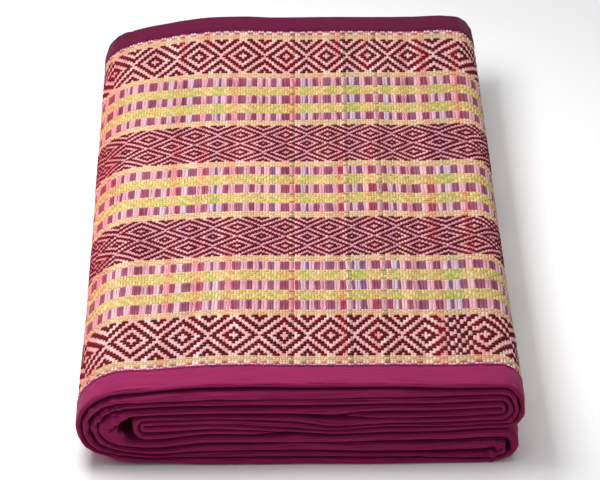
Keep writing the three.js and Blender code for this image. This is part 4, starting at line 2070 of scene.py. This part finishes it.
@dataclass(frozen=True)
class Studio:
    """The pale floor, the soft lights and the camera."""

    floor_size: float = 14.0
    floor_drop: float = 0.2 * MM
    floor_finish: FloorFinish = FloorFinish()
    glow: float = 0.42
    lamps: tuple[Lamp, ...] = (
        Lamp("key_light", (-0.22, 0.0, 0.55), (-0.1, 0.0, 0.05), (0.6, 0.3), 4.3),
        Lamp("top_light", (0.0, 0.0, 2.4), (0.0, 0.0, 0.0), (2.2, 2.2), 13.5),
    )
    camera: PhotoCamera = PhotoCamera()

    def floor(self) -> bpy.types.Object:
        """Makes the floor, just under the mat.

        Returns:
            The floor.
        """
        corners = np.array([(-0.5, -0.5), (0.5, -0.5), (0.5, 0.5), (-0.5, 0.5)]) * self.floor_size
        points = np.column_stack([corners, np.full(len(corners), -self.floor_drop)])
        floor = new_object("floor", points, [(0, 1, 2, 3)])
        floor.data.materials.append(self.floor_finish.material())
        return floor

    def build(self) -> bpy.types.Object:
        """Sets up the whole studio.

        Returns:
            Its floor.
        """
        scene = bpy.context.scene
        scene.view_settings.view_transform = "Standard"
        world = bpy.data.worlds.new("studio")
        world.use_nodes = True
        background = world.node_tree.nodes["Background"]
        background.inputs["Color"].default_value = (1, 1, 1, 1)
        background.inputs["Strength"].default_value = self.glow
        scene.world = world
        for lamp in self.lamps:
            lamp.build()
        self.camera.build()
        return self.floor()


# The strip on the far edge is a darker copy of the same cotton: painted shade for the far edge,
# which tilts away from the light.
COTTONS = {
    "front": ClothFinish("binding_cotton_front", srgb(160, 38, 93), srgb(98, 16, 56)),
    "back": ClothFinish("binding_cotton_back_painted_shade", srgb(106, 14, 58), srgb(60, 6, 34)),
}
THREAD = FloatFinish("sewing_thread", 0.6, 0.3, (900.0, 900.0, 900.0))


def main() -> None:
    """Builds the mat and its studio in order."""
    logging.basicConfig(level=logging.INFO, format="%(name)s: %(message)s")
    fold = Fold()
    line, settling, tree = SheetLine(fold), Settling(fold, EdgeShape()), InstanceTree()
    weave = Weave(line)

    panel_maker = WovenPanel(line, weave, settling)
    panel = panel_maker.build("woven_panel")
    panel_maker.dress(panel)
    floats = Floats(line, weave, settling, tree).build()
    thread = THREAD.material()
    bindings = []
    for side, name in ((-1, "front"), (1, "back")):
        binding_maker = EdgeBinding(line, settling, side, COTTONS[name])
        binding = binding_maker.build(f"{name}_binding")
        binding_maker.dress(binding)
        stitches = Stitches(line, settling, tree, side).build(f"{name}_stitches", thread)
        bindings.append((binding, stitches, f"binding_{name}"))

    for piece in [panel, *floats, *(piece for made in bindings for piece in made[:2])]:
        piece.data.calc_loop_triangles()
        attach(piece, BODY)
        LOG.info("%s: %d triangles", piece.name, len(piece.data.loop_triangles))
    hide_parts("mat_panel")
    for binding, stitches, node in bindings:
        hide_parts(node)

    Studio().build()


if __name__ == "__main__":
    main()
